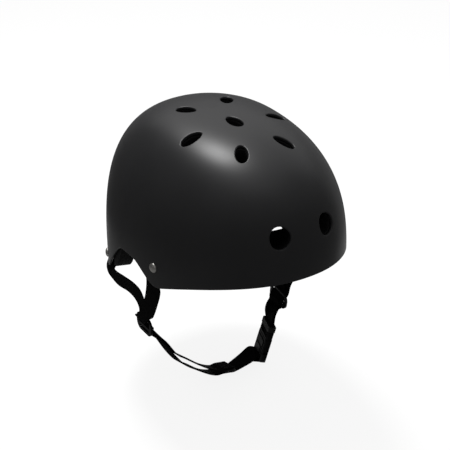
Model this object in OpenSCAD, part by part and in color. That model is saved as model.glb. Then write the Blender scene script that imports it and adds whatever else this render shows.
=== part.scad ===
// Skate helmet: hard round shell with eleven vents, foam liner, comfort pads,
// four riveted side straps, two strap dividers, chin adjuster and side-release buckle.
// Millimetres. The wearer faces -Y and the wearer's right side is -X.
// The origin is on the crown axis, level with the ear-side edge of the shell.

/* [Shell] */
// Half of the shell's width at the ears
shell_half_width = 103; // [98:0.5:108]
// Reach of the shell ahead of the crown axis
shell_front = 152; // [146:0.5:158]
// Reach of the shell behind the crown axis
shell_back = 118; // [113:0.5:123]
// Height of the crown above the origin
shell_height = 160; // [155:0.5:165]
// Wall of the shell
shell_wall = 3; // [2.4:0.1:3.4]
// Roundness of the plan outline
plan_power = 2.09; // [2:0.01:2.3]
// Height at which the front wall starts to curve in
front_wall_top = 50; // [40:1:56]
// Height at which the side walls start to curve in
side_wall_top = -12; // [-20:1:0]
// Height at which the back wall starts to curve in
back_wall_top = 35; // [25:1:45]

/* [Edge of the shell] */
// Height of the brow edge
brow_height = 58; // [52:0.5:62]
// How fast the brow edge falls towards the ears
brow_power = 0.6; // [0.5:0.01:0.8]
// Angle from the front at which the front lobe ends
lobe_angle = 64; // [62:0.5:66]
// Height of the top of the ear notch
notch_height = 42; // [38:0.5:46]
// Angle at which the notch reaches its top
notch_start = 78; // [76:0.5:80]
// Angle at which the notch leaves its top
notch_end = 94; // [90:0.5:97]
// Angle at which the notch meets the back edge
notch_back = 121; // [118:0.5:124]
// Height of the back edge
nape_height = -8; // [-14:0.5:-4]

/* [Vents] */
// Length of a crown vent
crown_vent_length = 22; // [18:0.5:25]
// Width of a crown vent
crown_vent_width = 14; // [11:0.5:16]
// Distance of the central vent ahead of the crown axis
centre_vent_y = 34; // [28:1:40]
// Sideways distance of the lateral crown vents
lateral_vent_x = 45; // [42:0.5:48]
// Sideways distance of the paired crown vents
paired_vent_x = 22.2; // [20:0.2:25]
// Distance of the front crown pair ahead of the crown axis
front_pair_y = 80; // [76:1:84]
// Distance of the back crown pair behind the crown axis
back_pair_y = 14; // [10:1:18]
// Height of a forehead vent
brow_vent_height = 24; // [20:0.5:27]
// Width of a forehead vent
brow_vent_width = 21; // [17:0.5:23]
// Angle of the forehead vents from the front
brow_vent_angle = 9.7; // [8.5:0.1:11]
// Height of the forehead vents' centres
brow_vent_z = 97.5; // [92:0.5:102]
// Angle of the nape vents from the back
nape_vent_angle = 13; // [11:0.5:16]
// Height of the nape vents' centres
nape_vent_z = 78; // [70:1:86]
// How much narrower the liner's vents are all round
liner_vent_margin = 1; // [0:0.1:2]

/* [Liner] */
// Gap between shell and liner
liner_gap = 0.4; // [0.3:0.05:0.6]
// Thickness of the liner at the sides
liner_side = 15; // [13:0.5:17]
// Thickness of the liner at the front
liner_front = 23; // [20:0.5:25]
// Thickness of the liner at the back
liner_back = 22; // [20:0.5:25]
// Thickness of the liner at the crown
liner_crown = 20; // [17:0.5:23]
// How far the liner stops above the shell's edge
liner_recess = 6; // [4:0.5:8]
// Height of the liner's lobe behind the ear notch
liner_lobe = 5; // [2:0.5:8]
// Depth of the strap channels in the liner
channel_depth = 6.5; // [6:0.1:7.5]

/* [Pads] */
// Thickness of the comfort pads at their crown
pad_thickness = 8; // [6:0.5:10]
// Depth of a pad's stitched channel
pad_channel = 3; // [1.5:0.1:4]
// Thickness of a pad at its sewn edge
pad_edge = 2.4; // [2:0.1:3]
// Thickness of the hook patches under the pads
patch_thickness = 1.2; // [1:0.1:1.6]
// Gap between a pad, its patch and the liner
patch_gap = 0.4; // [0.3:0.05:0.5]

/* [Rivets] */
// Radius of a rivet's domed head
rivet_head = 4.6; // [4:0.1:5]
// Height of a rivet's domed head
rivet_dome = 2.4; // [1.8:0.1:3]
// Radius of a rivet's post
rivet_post = 2; // [1.6:0.1:2.4]
// Clearance round a rivet's post
rivet_clearance = 0.1; // [0.05:0.01:0.2]
// Radius of the backing washer
washer_radius = 6.5; // [6:0.1:7]
// Thickness of the backing washer
washer_thickness = 0.8; // [0.6:0.1:1]
// Height of the front rivets
front_rivet_z = 46; // [44:0.5:48]
// Angle of the front rivets from the front
front_rivet_angle = 62.8; // [62:0.1:63.6]
// Height of the back rivets
back_rivet_z = 8; // [6:0.5:10]
// Angle of the back rivets from the front
back_rivet_angle = 122; // [121:0.1:123]

/* [Webbing] */
// Width of the webbing
webbing_width = 20; // [18:0.1:20.4]
// Thickness of the webbing
webbing_thick = 1.2; // [1:0.05:1.4]
// Gap between webbing and hardware
webbing_gap = 0.3; // [0.2:0.05:0.4]

/* [Dividers] */
// Length of a strap divider
divider_length = 29; // [28:0.5:31]
// Height of a strap divider
divider_height = 19; // [18.6:0.1:20]
// Thickness of a strap divider
divider_thick = 2; // [1.8:0.1:2.2]
// Height of the divider's strap slot
divider_slot = 8; // [7.8:0.1:8.2]

/* [Adjuster and buckle] */
// Length of the chin adjuster across the webbing
adjuster_length = 25; // [24.5:0.5:27]
// Width of the chin adjuster along the webbing
adjuster_width = 13; // [12:0.5:14]
// Thickness of the chin adjuster
adjuster_thick = 2.6; // [2.2:0.1:3]
// Width of the buckle
buckle_width = 25; // [24.5:0.5:27]
// Thickness of the buckle
buckle_thick = 8; // [7.6:0.1:9]
// Length of the buckle's housing
housing_length = 27; // [26:0.5:28]
// Wall of the buckle's housing
housing_wall = 1.4; // [1.2:0.1:1.6]
// Clearance inside the buckle
buckle_clearance = 0.3; // [0.2:0.05:0.4]
// Clearance round a prong's root
root_clearance = 0.1; // [0.05:0.01:0.1]
// Radius of the webbing bars
bar_radius = 1.5; // [1.3:0.1:1.7]
// Lean of the buckle away from upright
buckle_lean = 15.5; // [12:0.5:18]
// Turn of the buckle about the upright
buckle_turn = -18; // [-21:1:-15]
// Slope of the chin adjuster along the webbing
adjuster_slope = 12; // [9:1:15]
// Tilt of the chin adjuster across the webbing
adjuster_tilt = -12; // [-15:1:-9]
// Inner clearance of the rubber keeper
keeper_gap = 0.55; // [0.5:0.05:0.65]
// Wall of the rubber keeper
keeper_wall = 1.4; // [1:0.1:1.8]
// Height of the rubber keeper
keeper_height = 6; // [5:0.5:8]

/* [Hidden] */

black_shell = "#2b2b2c";
black_foam = "#141414";
black_cloth = "#1a1a1b";
black_plastic = "#111112";
chrome = "#c9ccd0";

// Power of the dome's side profile at the front, sides and back
profile_front = 2.73;
profile_side = 3.02;
profile_back = 2.76;
// Share by which the wall draws in over 60 mm below its top
tuck_front = 0.01;
tuck_side = 0.012;
tuck_back = 0.022;
tuck_span = 60;

function unit(v) = v / norm(v);
function mix(a, b, t) = a + (b - a) * t;
function limit(v, low, high) = min(max(v, low), high);
function ease(t) = let(c = limit(t, 0, 1)) c * c * (3 - 2 * c);

// A direction-dependent value: a is the angle from the front, towards the wearer's left
function around(a, front, side, back) =
    side * pow(sin(a), 2) + (cos(a) > 0 ? front : back) * pow(cos(a), 2);

// Each skin is [half width, front, back, height]
SHELL = [shell_half_width, shell_front, shell_back, shell_height];
function inset(skin, side, front, back, top) =
    [skin[0] - side, skin[1] - front, skin[2] - back, skin[3] - top];
SHELL_IN = inset(SHELL, shell_wall, shell_wall, shell_wall, shell_wall);
LINER = inset(SHELL_IN, liner_gap, liner_gap, liner_gap, liner_gap);
LINER_IN = inset(LINER, liner_side, liner_front, liner_back, liner_crown);

function plan_radius(a, skin) = pow(pow(abs(sin(a)) / skin[0], plan_power)
    + pow(abs(cos(a)) / (cos(a) > 0 ? skin[1] : skin[2]), plan_power), -1 / plan_power);
function wall_top(a) = around(a, front_wall_top, side_wall_top, back_wall_top);
function profile(a) = around(a, profile_front, profile_side, profile_back);
function tuck(a) = around(a, tuck_front, tuck_side, tuck_back);
function dome_radius(a, z, skin) = let(base = wall_top(a), m = profile(a),
    up = limit((z - base) / (skin[3] - base), 0, 1), down = max(base - z, 0) / tuck_span)
    plan_radius(a, skin) * pow(max(1 - pow(up, m), 0), 1 / m) * (1 - tuck(a) * down * down);
function dome_point(a, z, skin) = let(r = dome_radius(a, z, skin)) [r * sin(a), -r * cos(a), z];
function dome_height(x, y, skin) = let(a = atan2(x, -y), base = wall_top(a), m = profile(a),
    share = min(norm([x, y]) / plan_radius(a, skin), 1))
    base + (skin[3] - base) * pow(1 - pow(share, m), 1 / m);
// Outward normal of a skin
function dome_normal(a, z, skin) =
    unit(cross(dome_point(a + 0.5, z, skin) - dome_point(a - 0.5, z, skin),
        dome_point(a, z + 0.5, skin) - dome_point(a, z - 0.5, skin)));

// Lower edge of the shell, with the ear notch; b is the angle without its sign
function brow_edge(b) = brow_height * pow(0.5 + 0.5 * cos(180 * min(b, 94) / 95), brow_power);
function lobe_low() = brow_edge(lobe_angle - 4);
function sharp_edge(b) = b < lobe_angle - 4 ? brow_edge(b)
    : b < lobe_angle ? lobe_low() - 1.5
    : b < notch_start ? mix(lobe_low() - 1.5, notch_height, (b - lobe_angle) / (notch_start - lobe_angle))
    : b < notch_end ? notch_height
    : b < notch_back ? mix(notch_height, nape_height, (b - notch_end) / (notch_back - notch_end))
    : nape_height;
function shell_edge(a) = let(b = abs(a))
    (sharp_edge(b - 2.5) + 2 * sharp_edge(b) + sharp_edge(b + 2.5)) / 4;

// Lower edge of the liner: its ear notch is narrower at the back
function liner_sharp(b) = b < 76 ? sharp_edge(b) + liner_recess
    : b < notch_end - 2 ? notch_height + liner_recess
    : b < notch_end + 6 ? mix(notch_height + liner_recess, liner_lobe + 12, (b - notch_end + 2) / 8)
    : b < notch_end + 14 ? mix(liner_lobe + 12, liner_lobe, (b - notch_end - 6) / 8)
    : mix(liner_lobe, nape_height + liner_recess, limit((b - notch_end - 14) / 14, 0, 1));
function liner_edge(a) = let(b = abs(a))
    (liner_sharp(b - 2) + 2 * liner_sharp(b) + liner_sharp(b + 2)) / 4;

// Strap channels in the liner's outer face
function channel(b, z, angle, top) = channel_depth * ease((12 - abs(b - angle)) / 4) * ease((top - z) / 14);
function channels(a, z) = channel(abs(a), z, front_rivet_angle - 1, front_rivet_z + 28)
    + channel(abs(a), z, back_rivet_angle, back_rivet_z + 28);

// Angles of the columns of a skin, closer at the ear notch
HALF_ANGLES = concat([for (i = [0:9]) i * 5.8], [for (i = [0:6]) 58 + i * 2.1],
    [for (i = [0:8]) 73 + i * 3], [for (i = [0:7]) 100 + i * 3.4],
    [for (i = [0:7]) 127.2 + i * 6.6]);
ANGLES = concat([for (i = [len(HALF_ANGLES) - 1:-1:1]) -HALF_ANGLES[i]], HALF_ANGLES, [180]);
SHELL_ROWS = 14;
LINER_ROWS = 11;

function rise(edge, top, j, rows) = edge + (top - edge) * sin(90 * j / rows);
function levels(rows) = concat([for (j = [0:rows - 1]) j], [rows - 0.4]);

// Triangles of a closed band of quads between two rows of n points
function band(low, high, n) = [for (i = [0:n - 1]) let(k = (i + 1) % n)
    each [[low + i, high + i, high + k], [low + i, high + k, low + k]]];
function fan(row, tip, n) = [for (i = [0:n - 1]) [row + i, tip, row + (i + 1) % n]];
function flipped(faces) = [for (f = faces) [f[2], f[1], f[0]]];

// A bowl between two lists of rows, each list from the edge up to its own tip
module bowl(outer_rows, outer_tip, inner_rows, inner_tip) {
    n = len(outer_rows[0]);
    rows = len(outer_rows);
    points = concat([for (r = outer_rows) each r], [outer_tip], [for (r = inner_rows) each r], [inner_tip]);
    base = rows * n + 1;
    outer_faces = concat([for (j = [0:rows - 2]) each band(j * n, (j + 1) * n, n)],
        fan((rows - 1) * n, rows * n, n));
    inner_faces = concat([for (j = [0:rows - 2]) each band(base + j * n, base + (j + 1) * n, n)],
        fan(base + (rows - 1) * n, base + rows * n, n));
    polyhedron(points, concat(outer_faces, flipped(inner_faces), flipped(band(0, base, n))), convexity = 6);
}

// Turns +Z to the direction n, keeping X level
module aim(p, n) {
    translate(p) rotate([0, acos(n[2]), atan2(n[1], n[0])]) children();
}

// Outline of a vent: an oval with 20 sides, blunter at its inner end
function oval(length, width) = [for (i = [0:19]) let(t = i * 18)
    [width / 2 * cos(t) * (1 - 0.1 * sin(t)), length / 2 * sin(t)]];

// Place of each crown vent and the direction its long axis points
CROWN_VENTS = [[0, -centre_vent_y, 0], [lateral_vent_x, -centre_vent_y, 90],
    [-lateral_vent_x, -centre_vent_y, -90],
    [paired_vent_x, -front_pair_y, 28], [-paired_vent_x, -front_pair_y, -28],
    [paired_vent_x, back_pair_y, 150], [-paired_vent_x, back_pair_y, -150]];

module vent_cutters(margin) {
    for (v = CROWN_VENTS) {
        translate([v[0], v[1], 90]) rotate([0, 0, v[2]]) linear_extrude(90)
            polygon(oval(crown_vent_length - 2 * margin, crown_vent_width - 2 * margin));
    }
    for (side = [-1, 1]) {
        aim(dome_point(side * brow_vent_angle, brow_vent_z, SHELL),
            dome_normal(side * brow_vent_angle, brow_vent_z, SHELL))
            translate([0, 0, -40]) linear_extrude(60) rotate([0, 0, 90])
            polygon(oval(brow_vent_width - 2 * margin, brow_vent_height - 2 * margin));
        aim(dome_point(180 - side * nape_vent_angle, nape_vent_z, SHELL),
            dome_normal(180 - side * nape_vent_angle, nape_vent_z, SHELL))
            translate([0, 0, -40]) linear_extrude(60) rotate([0, 0, 90])
            polygon(oval(brow_vent_width - 2 * margin, brow_vent_height - 2 * margin));
    }
}

// Places of the four rivets: angle and height
RIVETS = [[-front_rivet_angle, front_rivet_z], [front_rivet_angle, front_rivet_z],
    [-back_rivet_angle, back_rivet_z], [back_rivet_angle, back_rivet_z]];

module at_rivet(r) {
    aim(dome_point(r[0], r[1], SHELL), dome_normal(r[0], r[1], SHELL)) children();
}

module outer_shell() {
    color(black_shell) difference() {
        bowl([for (j = levels(SHELL_ROWS)) [for (a = ANGLES)
                dome_point(a, rise(shell_edge(a), SHELL[3], j, SHELL_ROWS), SHELL)]],
            [0, 0, SHELL[3]],
            [for (j = levels(SHELL_ROWS)) [for (a = ANGLES)
                dome_point(a, rise(shell_edge(a), SHELL_IN[3], j, SHELL_ROWS), SHELL_IN)]],
            [0, 0, SHELL_IN[3]]);
        vent_cutters(0);
        for (r = RIVETS) {
            at_rivet(r) translate([0, 0, -shell_wall * 3]) cylinder(r = rivet_post + rivet_clearance,
                h = shell_wall * 6, $fn = 32);
        }
    }
}

function liner_point(a, z) = let(p = dome_point(a, z, LINER), c = channels(a, z))
    p - [sin(a), -cos(a), 0] * c;

module foam_liner() {
    color(black_foam) difference() {
        bowl([for (j = levels(LINER_ROWS)) [for (a = ANGLES)
                liner_point(a, rise(liner_edge(a), LINER[3], j, LINER_ROWS))]],
            [0, 0, LINER[3]],
            [for (j = levels(LINER_ROWS)) [for (a = ANGLES)
                dome_point(a, rise(liner_edge(a), LINER_IN[3], j, LINER_ROWS), LINER_IN)]],
            [0, 0, LINER_IN[3]]);
        vent_cutters(liner_vent_margin);
    }
}

// A cushion that follows the inside of the liner between two angles and two heights.
// Its back lies depth off the liner; seams are the places of its stitched channels, 0 to 1.
function edge_draw(t) = pow(max(1 - pow(abs(2 * t - 1), 4), 0), 0.5);
function seam_draw(u, seams) = max([0, for (s = seams) ease(1 - abs(u - s) / 0.045)]);
function cushion_front(u, v, seams) = let(e = edge_draw(u) * edge_draw(v))
    pad_edge + (pad_thickness - pad_edge) * e - pad_channel * e * seam_draw(u, seams);
function cushion_back(u, v) = pad_edge / 2 * (1 - edge_draw(u) * edge_draw(v));
function liner_inside(a, z, d) = dome_point(a, z, LINER_IN) - dome_normal(a, z, LINER_IN) * d;

module sheet_solid(front, back) {
    rows = len(front);
    n = len(front[0]);
    points = concat([for (r = front) each r], [for (r = back) each r]);
    base = rows * n;
    faces_front = [for (j = [0:rows - 2]) for (i = [0:n - 2])
        each [[j * n + i, j * n + i + 1, (j + 1) * n + i + 1],
            [j * n + i, (j + 1) * n + i + 1, (j + 1) * n + i]]];
    faces_back = [for (f = faces_front) [f[2] + base, f[1] + base, f[0] + base]];
    ring = concat([for (i = [0:n - 2]) i], [for (j = [0:rows - 2]) j * n + n - 1],
        [for (i = [n - 1:-1:1]) (rows - 1) * n + i], [for (j = [rows - 1:-1:1]) j * n]);
    m = len(ring);
    sides = [for (k = [0:m - 1]) let(a = ring[k], b = ring[(k + 1) % m])
        each [[b, a, a + base], [b, a + base, b + base]]];
    polyhedron(points, concat(faces_front, faces_back, sides), convexity = 6);
}

module wall_cushion(a0, a1, z0, z1, seams, nu, nv) {
    depth = patch_thickness + 2 * patch_gap;
    rows_front = [for (j = [0:nv]) [for (i = [0:nu]) let(u = i / nu, v = j / nv)
        liner_inside(mix(a0, a1, u), mix(z0, z1, v), depth + cushion_front(u, v, seams))]];
    rows_back = [for (j = [0:nv]) [for (i = [0:nu]) let(u = i / nu, v = j / nv)
        liner_inside(mix(a0, a1, u), mix(z0, z1, v), depth + cushion_back(u, v))]];
    sheet_solid(rows_front, rows_back);
}

// A thin patch on the inside of the liner
module wall_patch(a0, a1, z0, z1) {
    rows_front = [for (j = [0:3]) [for (i = [0:4]) liner_inside(mix(a0, a1, i / 4), mix(z0, z1, j / 3),
        patch_gap + patch_thickness)]];
    rows_back = [for (j = [0:3]) [for (i = [0:4]) liner_inside(mix(a0, a1, i / 4), mix(z0, z1, j / 3),
        patch_gap)]];
    sheet_solid(rows_front, rows_back);
}

FRONT_PAD = [-42, 42, 66, 90];
BACK_PAD = [146, 214, 6, 34];
SIDE_PAD = [60, 118, 56, 86];

module front_pad() {
    color(black_cloth) wall_cushion(FRONT_PAD[0], FRONT_PAD[1], FRONT_PAD[2], FRONT_PAD[3],
        [0.25, 0.5, 0.75], 40, 8);
}

module back_pad() {
    color(black_cloth) wall_cushion(BACK_PAD[0], BACK_PAD[1], BACK_PAD[2], BACK_PAD[3],
        [0.33, 0.67], 30, 8);
}

module side_cushion() {
    wall_cushion(SIDE_PAD[0], SIDE_PAD[1], SIDE_PAD[2], SIDE_PAD[3], [0.5], 24, 8);
}

module side_pad_left() {
    color(black_cloth) side_cushion();
}

module side_pad_right() {
    color(black_cloth) mirror([1, 0, 0]) side_cushion();
}

// The crown pad is an oval cushion on the liner's ceiling
CROWN_PAD = [34, 46];
CROWN_PAD_Y = -30;
crown_columns = 32;
crown_rings = 7;
function crown_at(i, s, d) = let(t = 360 * i / crown_columns, x = CROWN_PAD[0] * s * cos(t),
    y = CROWN_PAD_Y + CROWN_PAD[1] * s * sin(t))
    [x, y, dome_height(x, y, LINER_IN) - d];
function crown_draw(s) = pow(max(1 - pow(s, 5), 0), 0.5);
function crown_swell(s) = let(e = crown_draw(s), ring = ease(1 - abs(s - 0.5) / 0.16))
    pad_edge + (pad_thickness - pad_edge) * e - pad_channel * e * ring;

module crown_pad() {
    depth = patch_thickness + 2 * patch_gap;
    n = crown_columns;
    lower = [for (j = [0:crown_rings - 1]) let(s = 1 - j / crown_rings)
        [for (i = [0:n - 1]) crown_at(i, s, depth + crown_swell(s))]];
    upper = [for (j = [0:crown_rings - 1]) let(s = 1 - j / crown_rings)
        [for (i = [0:n - 1]) crown_at(i, s, depth + pad_edge / 2 * (1 - crown_draw(s)))]];
    color(black_cloth) bowl(upper, crown_at(0, 0, depth), lower, crown_at(0, 0, depth + pad_thickness));
}

module hook_patches() {
    color(black_plastic) {
        for (a = [-28, 28]) {
            wall_patch(a - 7, a + 7, 71, 85);
        }
        wall_patch(158, 170, 12, 28);
        wall_patch(190, 202, 12, 28);
        for (side = [0, 1]) {
            mirror([side, 0, 0]) wall_patch(68, 82, 62, 80);
            mirror([side, 0, 0]) wall_patch(96, 110, 62, 80);
        }
        for (y = [-54, -6]) {
            rows_low = [for (j = [0:3]) [for (i = [0:4]) let(x = mix(-12, 12, i / 4),
                q = mix(y - 8, y + 8, j / 3))
                [x, q, dome_height(x, q, LINER_IN) - patch_gap - patch_thickness]]];
            rows_high = [for (j = [0:3]) [for (i = [0:4]) let(x = mix(-12, 12, i / 4),
                q = mix(y - 8, y + 8, j / 3))
                [x, q, dome_height(x, q, LINER_IN) - patch_gap]]];
            sheet_solid(rows_low, rows_high);
        }
    }
}

// Depth of the webbing's middle below the shell's outer face at a rivet
tab_depth = shell_wall + 0.9 + webbing_thick / 2;
washer_top = -(tab_depth + webbing_thick / 2 + 0.1);
tail_top = washer_top - washer_thickness - 0.1;

// Domed head outside, post through shell, webbing and washer, and a flared tail
module rivet() {
    rotate_extrude($fn = 48) polygon(concat([[0, rivet_dome]],
        [for (i = [1:6]) [rivet_head * sin(15 * i), 0.05 + (rivet_dome - 0.05) * cos(15 * i)]],
        [[rivet_post, 0.05], [rivet_post, tail_top], [rivet_post + 1.2, tail_top],
        [rivet_post + 0.8, tail_top - 0.8], [0, tail_top - 0.8]]));
}

module rivets() {
    color(chrome) for (r = RIVETS) {
        at_rivet(r) rivet();
    }
}

module rivet_washers() {
    color(chrome) for (r = RIVETS) {
        at_rivet(r) translate([0, 0, washer_top - washer_thickness]) difference() {
            cylinder(r = washer_radius, h = washer_thickness, $fn = 48);
            translate([0, 0, -1]) cylinder(r = rivet_post + rivet_clearance, h = 3, $fn = 32);
        }
    }
}

// A smooth line through chosen stations; each station is a place and the way the webbing faces
function spline(a, b, c, d, t) = 0.5 * (2 * b + (c - a) * t + (2 * a - 5 * b + 4 * c - d) * t * t
    + (3 * b - a - 3 * c + d) * t * t * t);
function station(s, i) = s[limit(i, 0, len(s) - 1)];
function route(s, steps) = concat([for (i = [0:len(s) - 2]) for (k = [0:steps - 1])
    spline(station(s, i - 1), station(s, i), station(s, i + 1), station(s, i + 2), k / steps)],
    [s[len(s) - 1]]);
function place(q) = [q[0], q[1], q[2]];
function facing(q) = [q[3], q[4], q[5]];

// Flat webbing swept along a route
module webbing(stations, steps) {
    line = route(stations, steps);
    n = len(line);
    rings = [for (i = [0:n - 1]) let(p = place(line[i]),
        t = unit(place(line[min(i + 1, n - 1)]) - place(line[max(i - 1, 0)])),
        w = unit(cross(facing(line[i]), t)), f = cross(t, w),
        a = w * webbing_width / 2, b = f * webbing_thick / 2)
        [p + a + b, p - a + b, p - a - b, p + a - b]];
    sides = [for (i = [0:n - 2]) each band(4 * i, 4 * (i + 1), 4)];
    polyhedron([for (r = rings) each r],
        concat(sides, [[0, 1, 2], [0, 2, 3]], [[4 * n - 2, 4 * n - 3, 4 * n - 4],
            [4 * n - 1, 4 * n - 2, 4 * n - 4]]), convexity = 6);
}

// The straps' free places were measured on a shell of this half width, reach to the front and
// height, and follow the size of the shell
MEASURED_ON = [103, 152, 160];
function follow(p) = [p[0] * (shell_half_width / MEASURED_ON[0]),
    p[1] * (shell_front / MEASURED_ON[1]), p[2] * (shell_height / MEASURED_ON[2])];
function hanging(stations) = [for (s = stations) concat(follow(s), [s[3], s[4], s[5]])];

// Dividers: middle of each, and how far the front end of each hangs down
DIVIDER_RIGHT = follow([-88, -8.5, -41]);
DIVIDER_LEFT = follow([71, -6.5, -66.5]);
right_tilt = -2;
left_tilt = 10;
function divider_tilt(side) = side < 0 ? right_tilt : left_tilt;

// A place in the divider's own frame: u towards the front, v up, w outwards; side is -1 or 1
function divider_place(c, side, u, v, w) = let(t = divider_tilt(side))
    c + [side * w, -u * cos(t) - v * sin(t), -u * sin(t) + v * cos(t)];
function divider_station(c, side, v, w) = let(p = divider_place(c, side, 0, v, w))
    [p[0], p[1], p[2], side, 0, 0];

// Layer offsets of the two webbings outside and inside a divider
layer_step = 1.9;
outer_low = divider_thick / 2 + webbing_gap + webbing_thick / 2 + 0.1;
slot_top = divider_height / 2 - 2.4;
slot_low = slot_top - divider_slot;
inner_layer = -(divider_thick / 2 + webbing_gap + webbing_thick / 2 + 0.3);

function through_divider(c, side, layer) = [
    divider_station(c, side, slot_top + 6, outer_low + 0.6 + layer * (layer_step + 1)),
    divider_station(c, side, slot_top + 0.3, outer_low + 0.3 + layer * (layer_step + 0.8)),
    divider_station(c, side, (slot_top + slot_low) / 2, (layer - 0.5) * (layer_step + 0.2)),
    divider_station(c, side, slot_low - 0.3, inner_layer - (1 - layer) * layer_step),
    divider_station(c, side, slot_low - 1.0, inner_layer - (1 - layer) * layer_step),
    divider_station(c, side, slot_low - 1.6, inner_layer - (1 - layer) * layer_step)];

function tab_station(angle, z) = let(n = dome_normal(angle, z, SHELL),
    p = dome_point(angle, z, SHELL) - n * tab_depth) [p[0], p[1], p[2], n[0], n[1], n[2]];

FRONT_RIGHT = concat([tab_station(-62.8, 55), tab_station(-62.8, 46), tab_station(-66, 33)],
    hanging([[-93.2, -41, 20, -0.98, -0.2, 0], [-92.8, -36.5, 7, -1, -0.1, 0],
    [-93, -28.5, -9, -1, 0, 0]]), through_divider(DIVIDER_RIGHT, -1, 1));
REAR_RIGHT = concat([tab_station(-122, 16), tab_station(-122, 8), tab_station(-122, 0.5)],
    hanging([[-86.8, 57.3, -7.5, -0.85, 0.45, -0.1], [-89.3, 55, -13.6, -0.95, 0.2, -0.15],
    [-90.6, 48.5, -16.2, -0.97, 0.08, -0.2], [-90.4, 38.5, -13.4, -0.97, 0.05, -0.2],
    [-90, 26, -10.8, -1, 0, -0.15], [-89.8, 12, -10.8, -1, 0, -0.1], [-89.7, -0.5, -17, -1, 0, 0]]),
    through_divider(DIVIDER_RIGHT, -1, 0));
FRONT_LEFT = concat([tab_station(62.8, 55), tab_station(62.8, 46), tab_station(66, 33)],
    hanging([[91, -39, 18, 0.98, -0.2, 0], [85, -30, -5, 0.97, 0, 0.2],
    [79.2, -19.5, -28, 0.97, 0, 0.2], [77.2, -13, -41, 1, 0, 0]]),
    through_divider(DIVIDER_LEFT, 1, 1));
REAR_LEFT = concat([tab_station(122, 16), tab_station(122, 8), tab_station(122, 0.5)],
    hanging([[84.5, 54, -9, 0.85, 0.5, 0], [82, 48, -23, 0.95, 0.3, 0.1],
    [77.8, 34, -36, 1, 0.1, 0.2], [74.4, 15, -43.5, 1, 0, 0.2], [73, -1, -44, 1, 0, 0]]),
    through_divider(DIVIDER_LEFT, 1, 0));

module rivet_hole(r) {
    at_rivet(r) translate([0, 0, -14]) cylinder(r = rivet_post + rivet_clearance, h = 20, $fn = 32);
}

module side_webbing(stations, r) {
    color(black_cloth) difference() {
        webbing(stations, 4);
        rivet_hole(r);
    }
}

module front_webbing_right() {
    side_webbing(FRONT_RIGHT, RIVETS[0]);
}

module front_webbing_left() {
    side_webbing(FRONT_LEFT, RIVETS[1]);
}

module rear_webbing_right() {
    side_webbing(REAR_RIGHT, RIVETS[2]);
}

module rear_webbing_left() {
    side_webbing(REAR_LEFT, RIVETS[3]);
}

// A plate with round ends and round corners
module rounded_plate(length, height, radius, thick) {
    linear_extrude(thick) union() {
        square([length - 2 * radius, height], center = true);
        square([length, height - 2 * radius], center = true);
        for (x = [-1, 1]) for (y = [-1, 1]) {
            translate([x * (length / 2 - radius), y * (height / 2 - radius)]) circle(r = radius, $fn = 32);
        }
    }
}

module divider() {
    difference() {
        translate([0, 0, -divider_thick / 2]) rounded_plate(divider_length, divider_height,
            divider_height / 2 - 2, divider_thick);
        translate([-webbing_width / 2 - 1, slot_low, -5]) cube([webbing_width + 2, divider_slot, 10]);
        translate([-webbing_width / 2 + 1, slot_low - 5.6, -5]) cube([webbing_width - 2, 3, 10]);
    }
}

// The divider's plate stands on its long axis and faces outwards
module divider_right() {
    color(black_plastic) translate(DIVIDER_RIGHT) rotate([right_tilt, 0, 0]) rotate([90, 0, -90]) divider();
}

module divider_left() {
    color(black_plastic) translate(DIVIDER_LEFT) mirror([1, 0, 0]) rotate([left_tilt, 0, 0])
        rotate([90, 0, -90]) divider();
}

// Chin adjuster and buckle: middle of each
ADJUSTER = follow([1.5, -9, -128.8]);
BUCKLE = follow([49.4, -12, -110.3]);

// Directions and places in the buckle's own frame: x outwards, y across, z up along the buckle
function buckle_turned(x, y, z) = let(p = x * cos(buckle_lean) + z * sin(buckle_lean),
    q = z * cos(buckle_lean) - x * sin(buckle_lean))
    [p * cos(buckle_turn) - y * sin(buckle_turn), p * sin(buckle_turn) + y * cos(buckle_turn), q];
function buckle_place(x, y, z, fx, fz) = let(p = BUCKLE + buckle_turned(x, y, z),
    f = buckle_turned(fx, 0, fz))
    [p[0], p[1], p[2], f[0], f[1], f[2]];
function buckle_station(x, z, fx, fz) = buckle_place(x, 0, z, fx, fz);
function adjuster_turned(x, y, z) = let(q = y * cos(adjuster_tilt) - z * sin(adjuster_tilt),
    r = y * sin(adjuster_tilt) + z * cos(adjuster_tilt))
    [x * cos(adjuster_slope) + r * sin(adjuster_slope), q,
        r * cos(adjuster_slope) - x * sin(adjuster_slope)];
function adjuster_station(x, z) = let(p = ADJUSTER + adjuster_turned(x, 0, z),
    f = adjuster_turned(0, 0, -1))
    [p[0], p[1], p[2], f[0], f[1], f[2]];

// Heights along the buckle
housing_low = -20.5;
housing_high = housing_low + housing_length;
housing_bar = housing_low + bar_radius;
housing_floor = housing_bar + bar_radius + 4.3;
tongue_low = housing_high + buckle_clearance;
tongue_slot = tongue_low + 2.2;
tongue_bar = tongue_slot + 2.7 + bar_radius;
tongue_high = tongue_bar + bar_radius + 0.8;
wrap = bar_radius + webbing_gap + webbing_thick / 2;
cheek = webbing_width / 2 + 0.75;

// The two layers of the right chin webbing: each starts where a side webbing ends in the divider
function chin_start(side, layer, extra) = let(c = side < 0 ? DIVIDER_RIGHT : DIVIDER_LEFT,
    w = inner_layer - (1 - layer) * layer_step)
    [divider_station(c, side, slot_low - 2.2, w), divider_station(c, side, slot_low - 3.7, w),
        divider_station(c, side, slot_low - 8, w - extra)];
strap_rise = adjuster_thick / 2 + webbing_gap + webbing_thick / 2;

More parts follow.
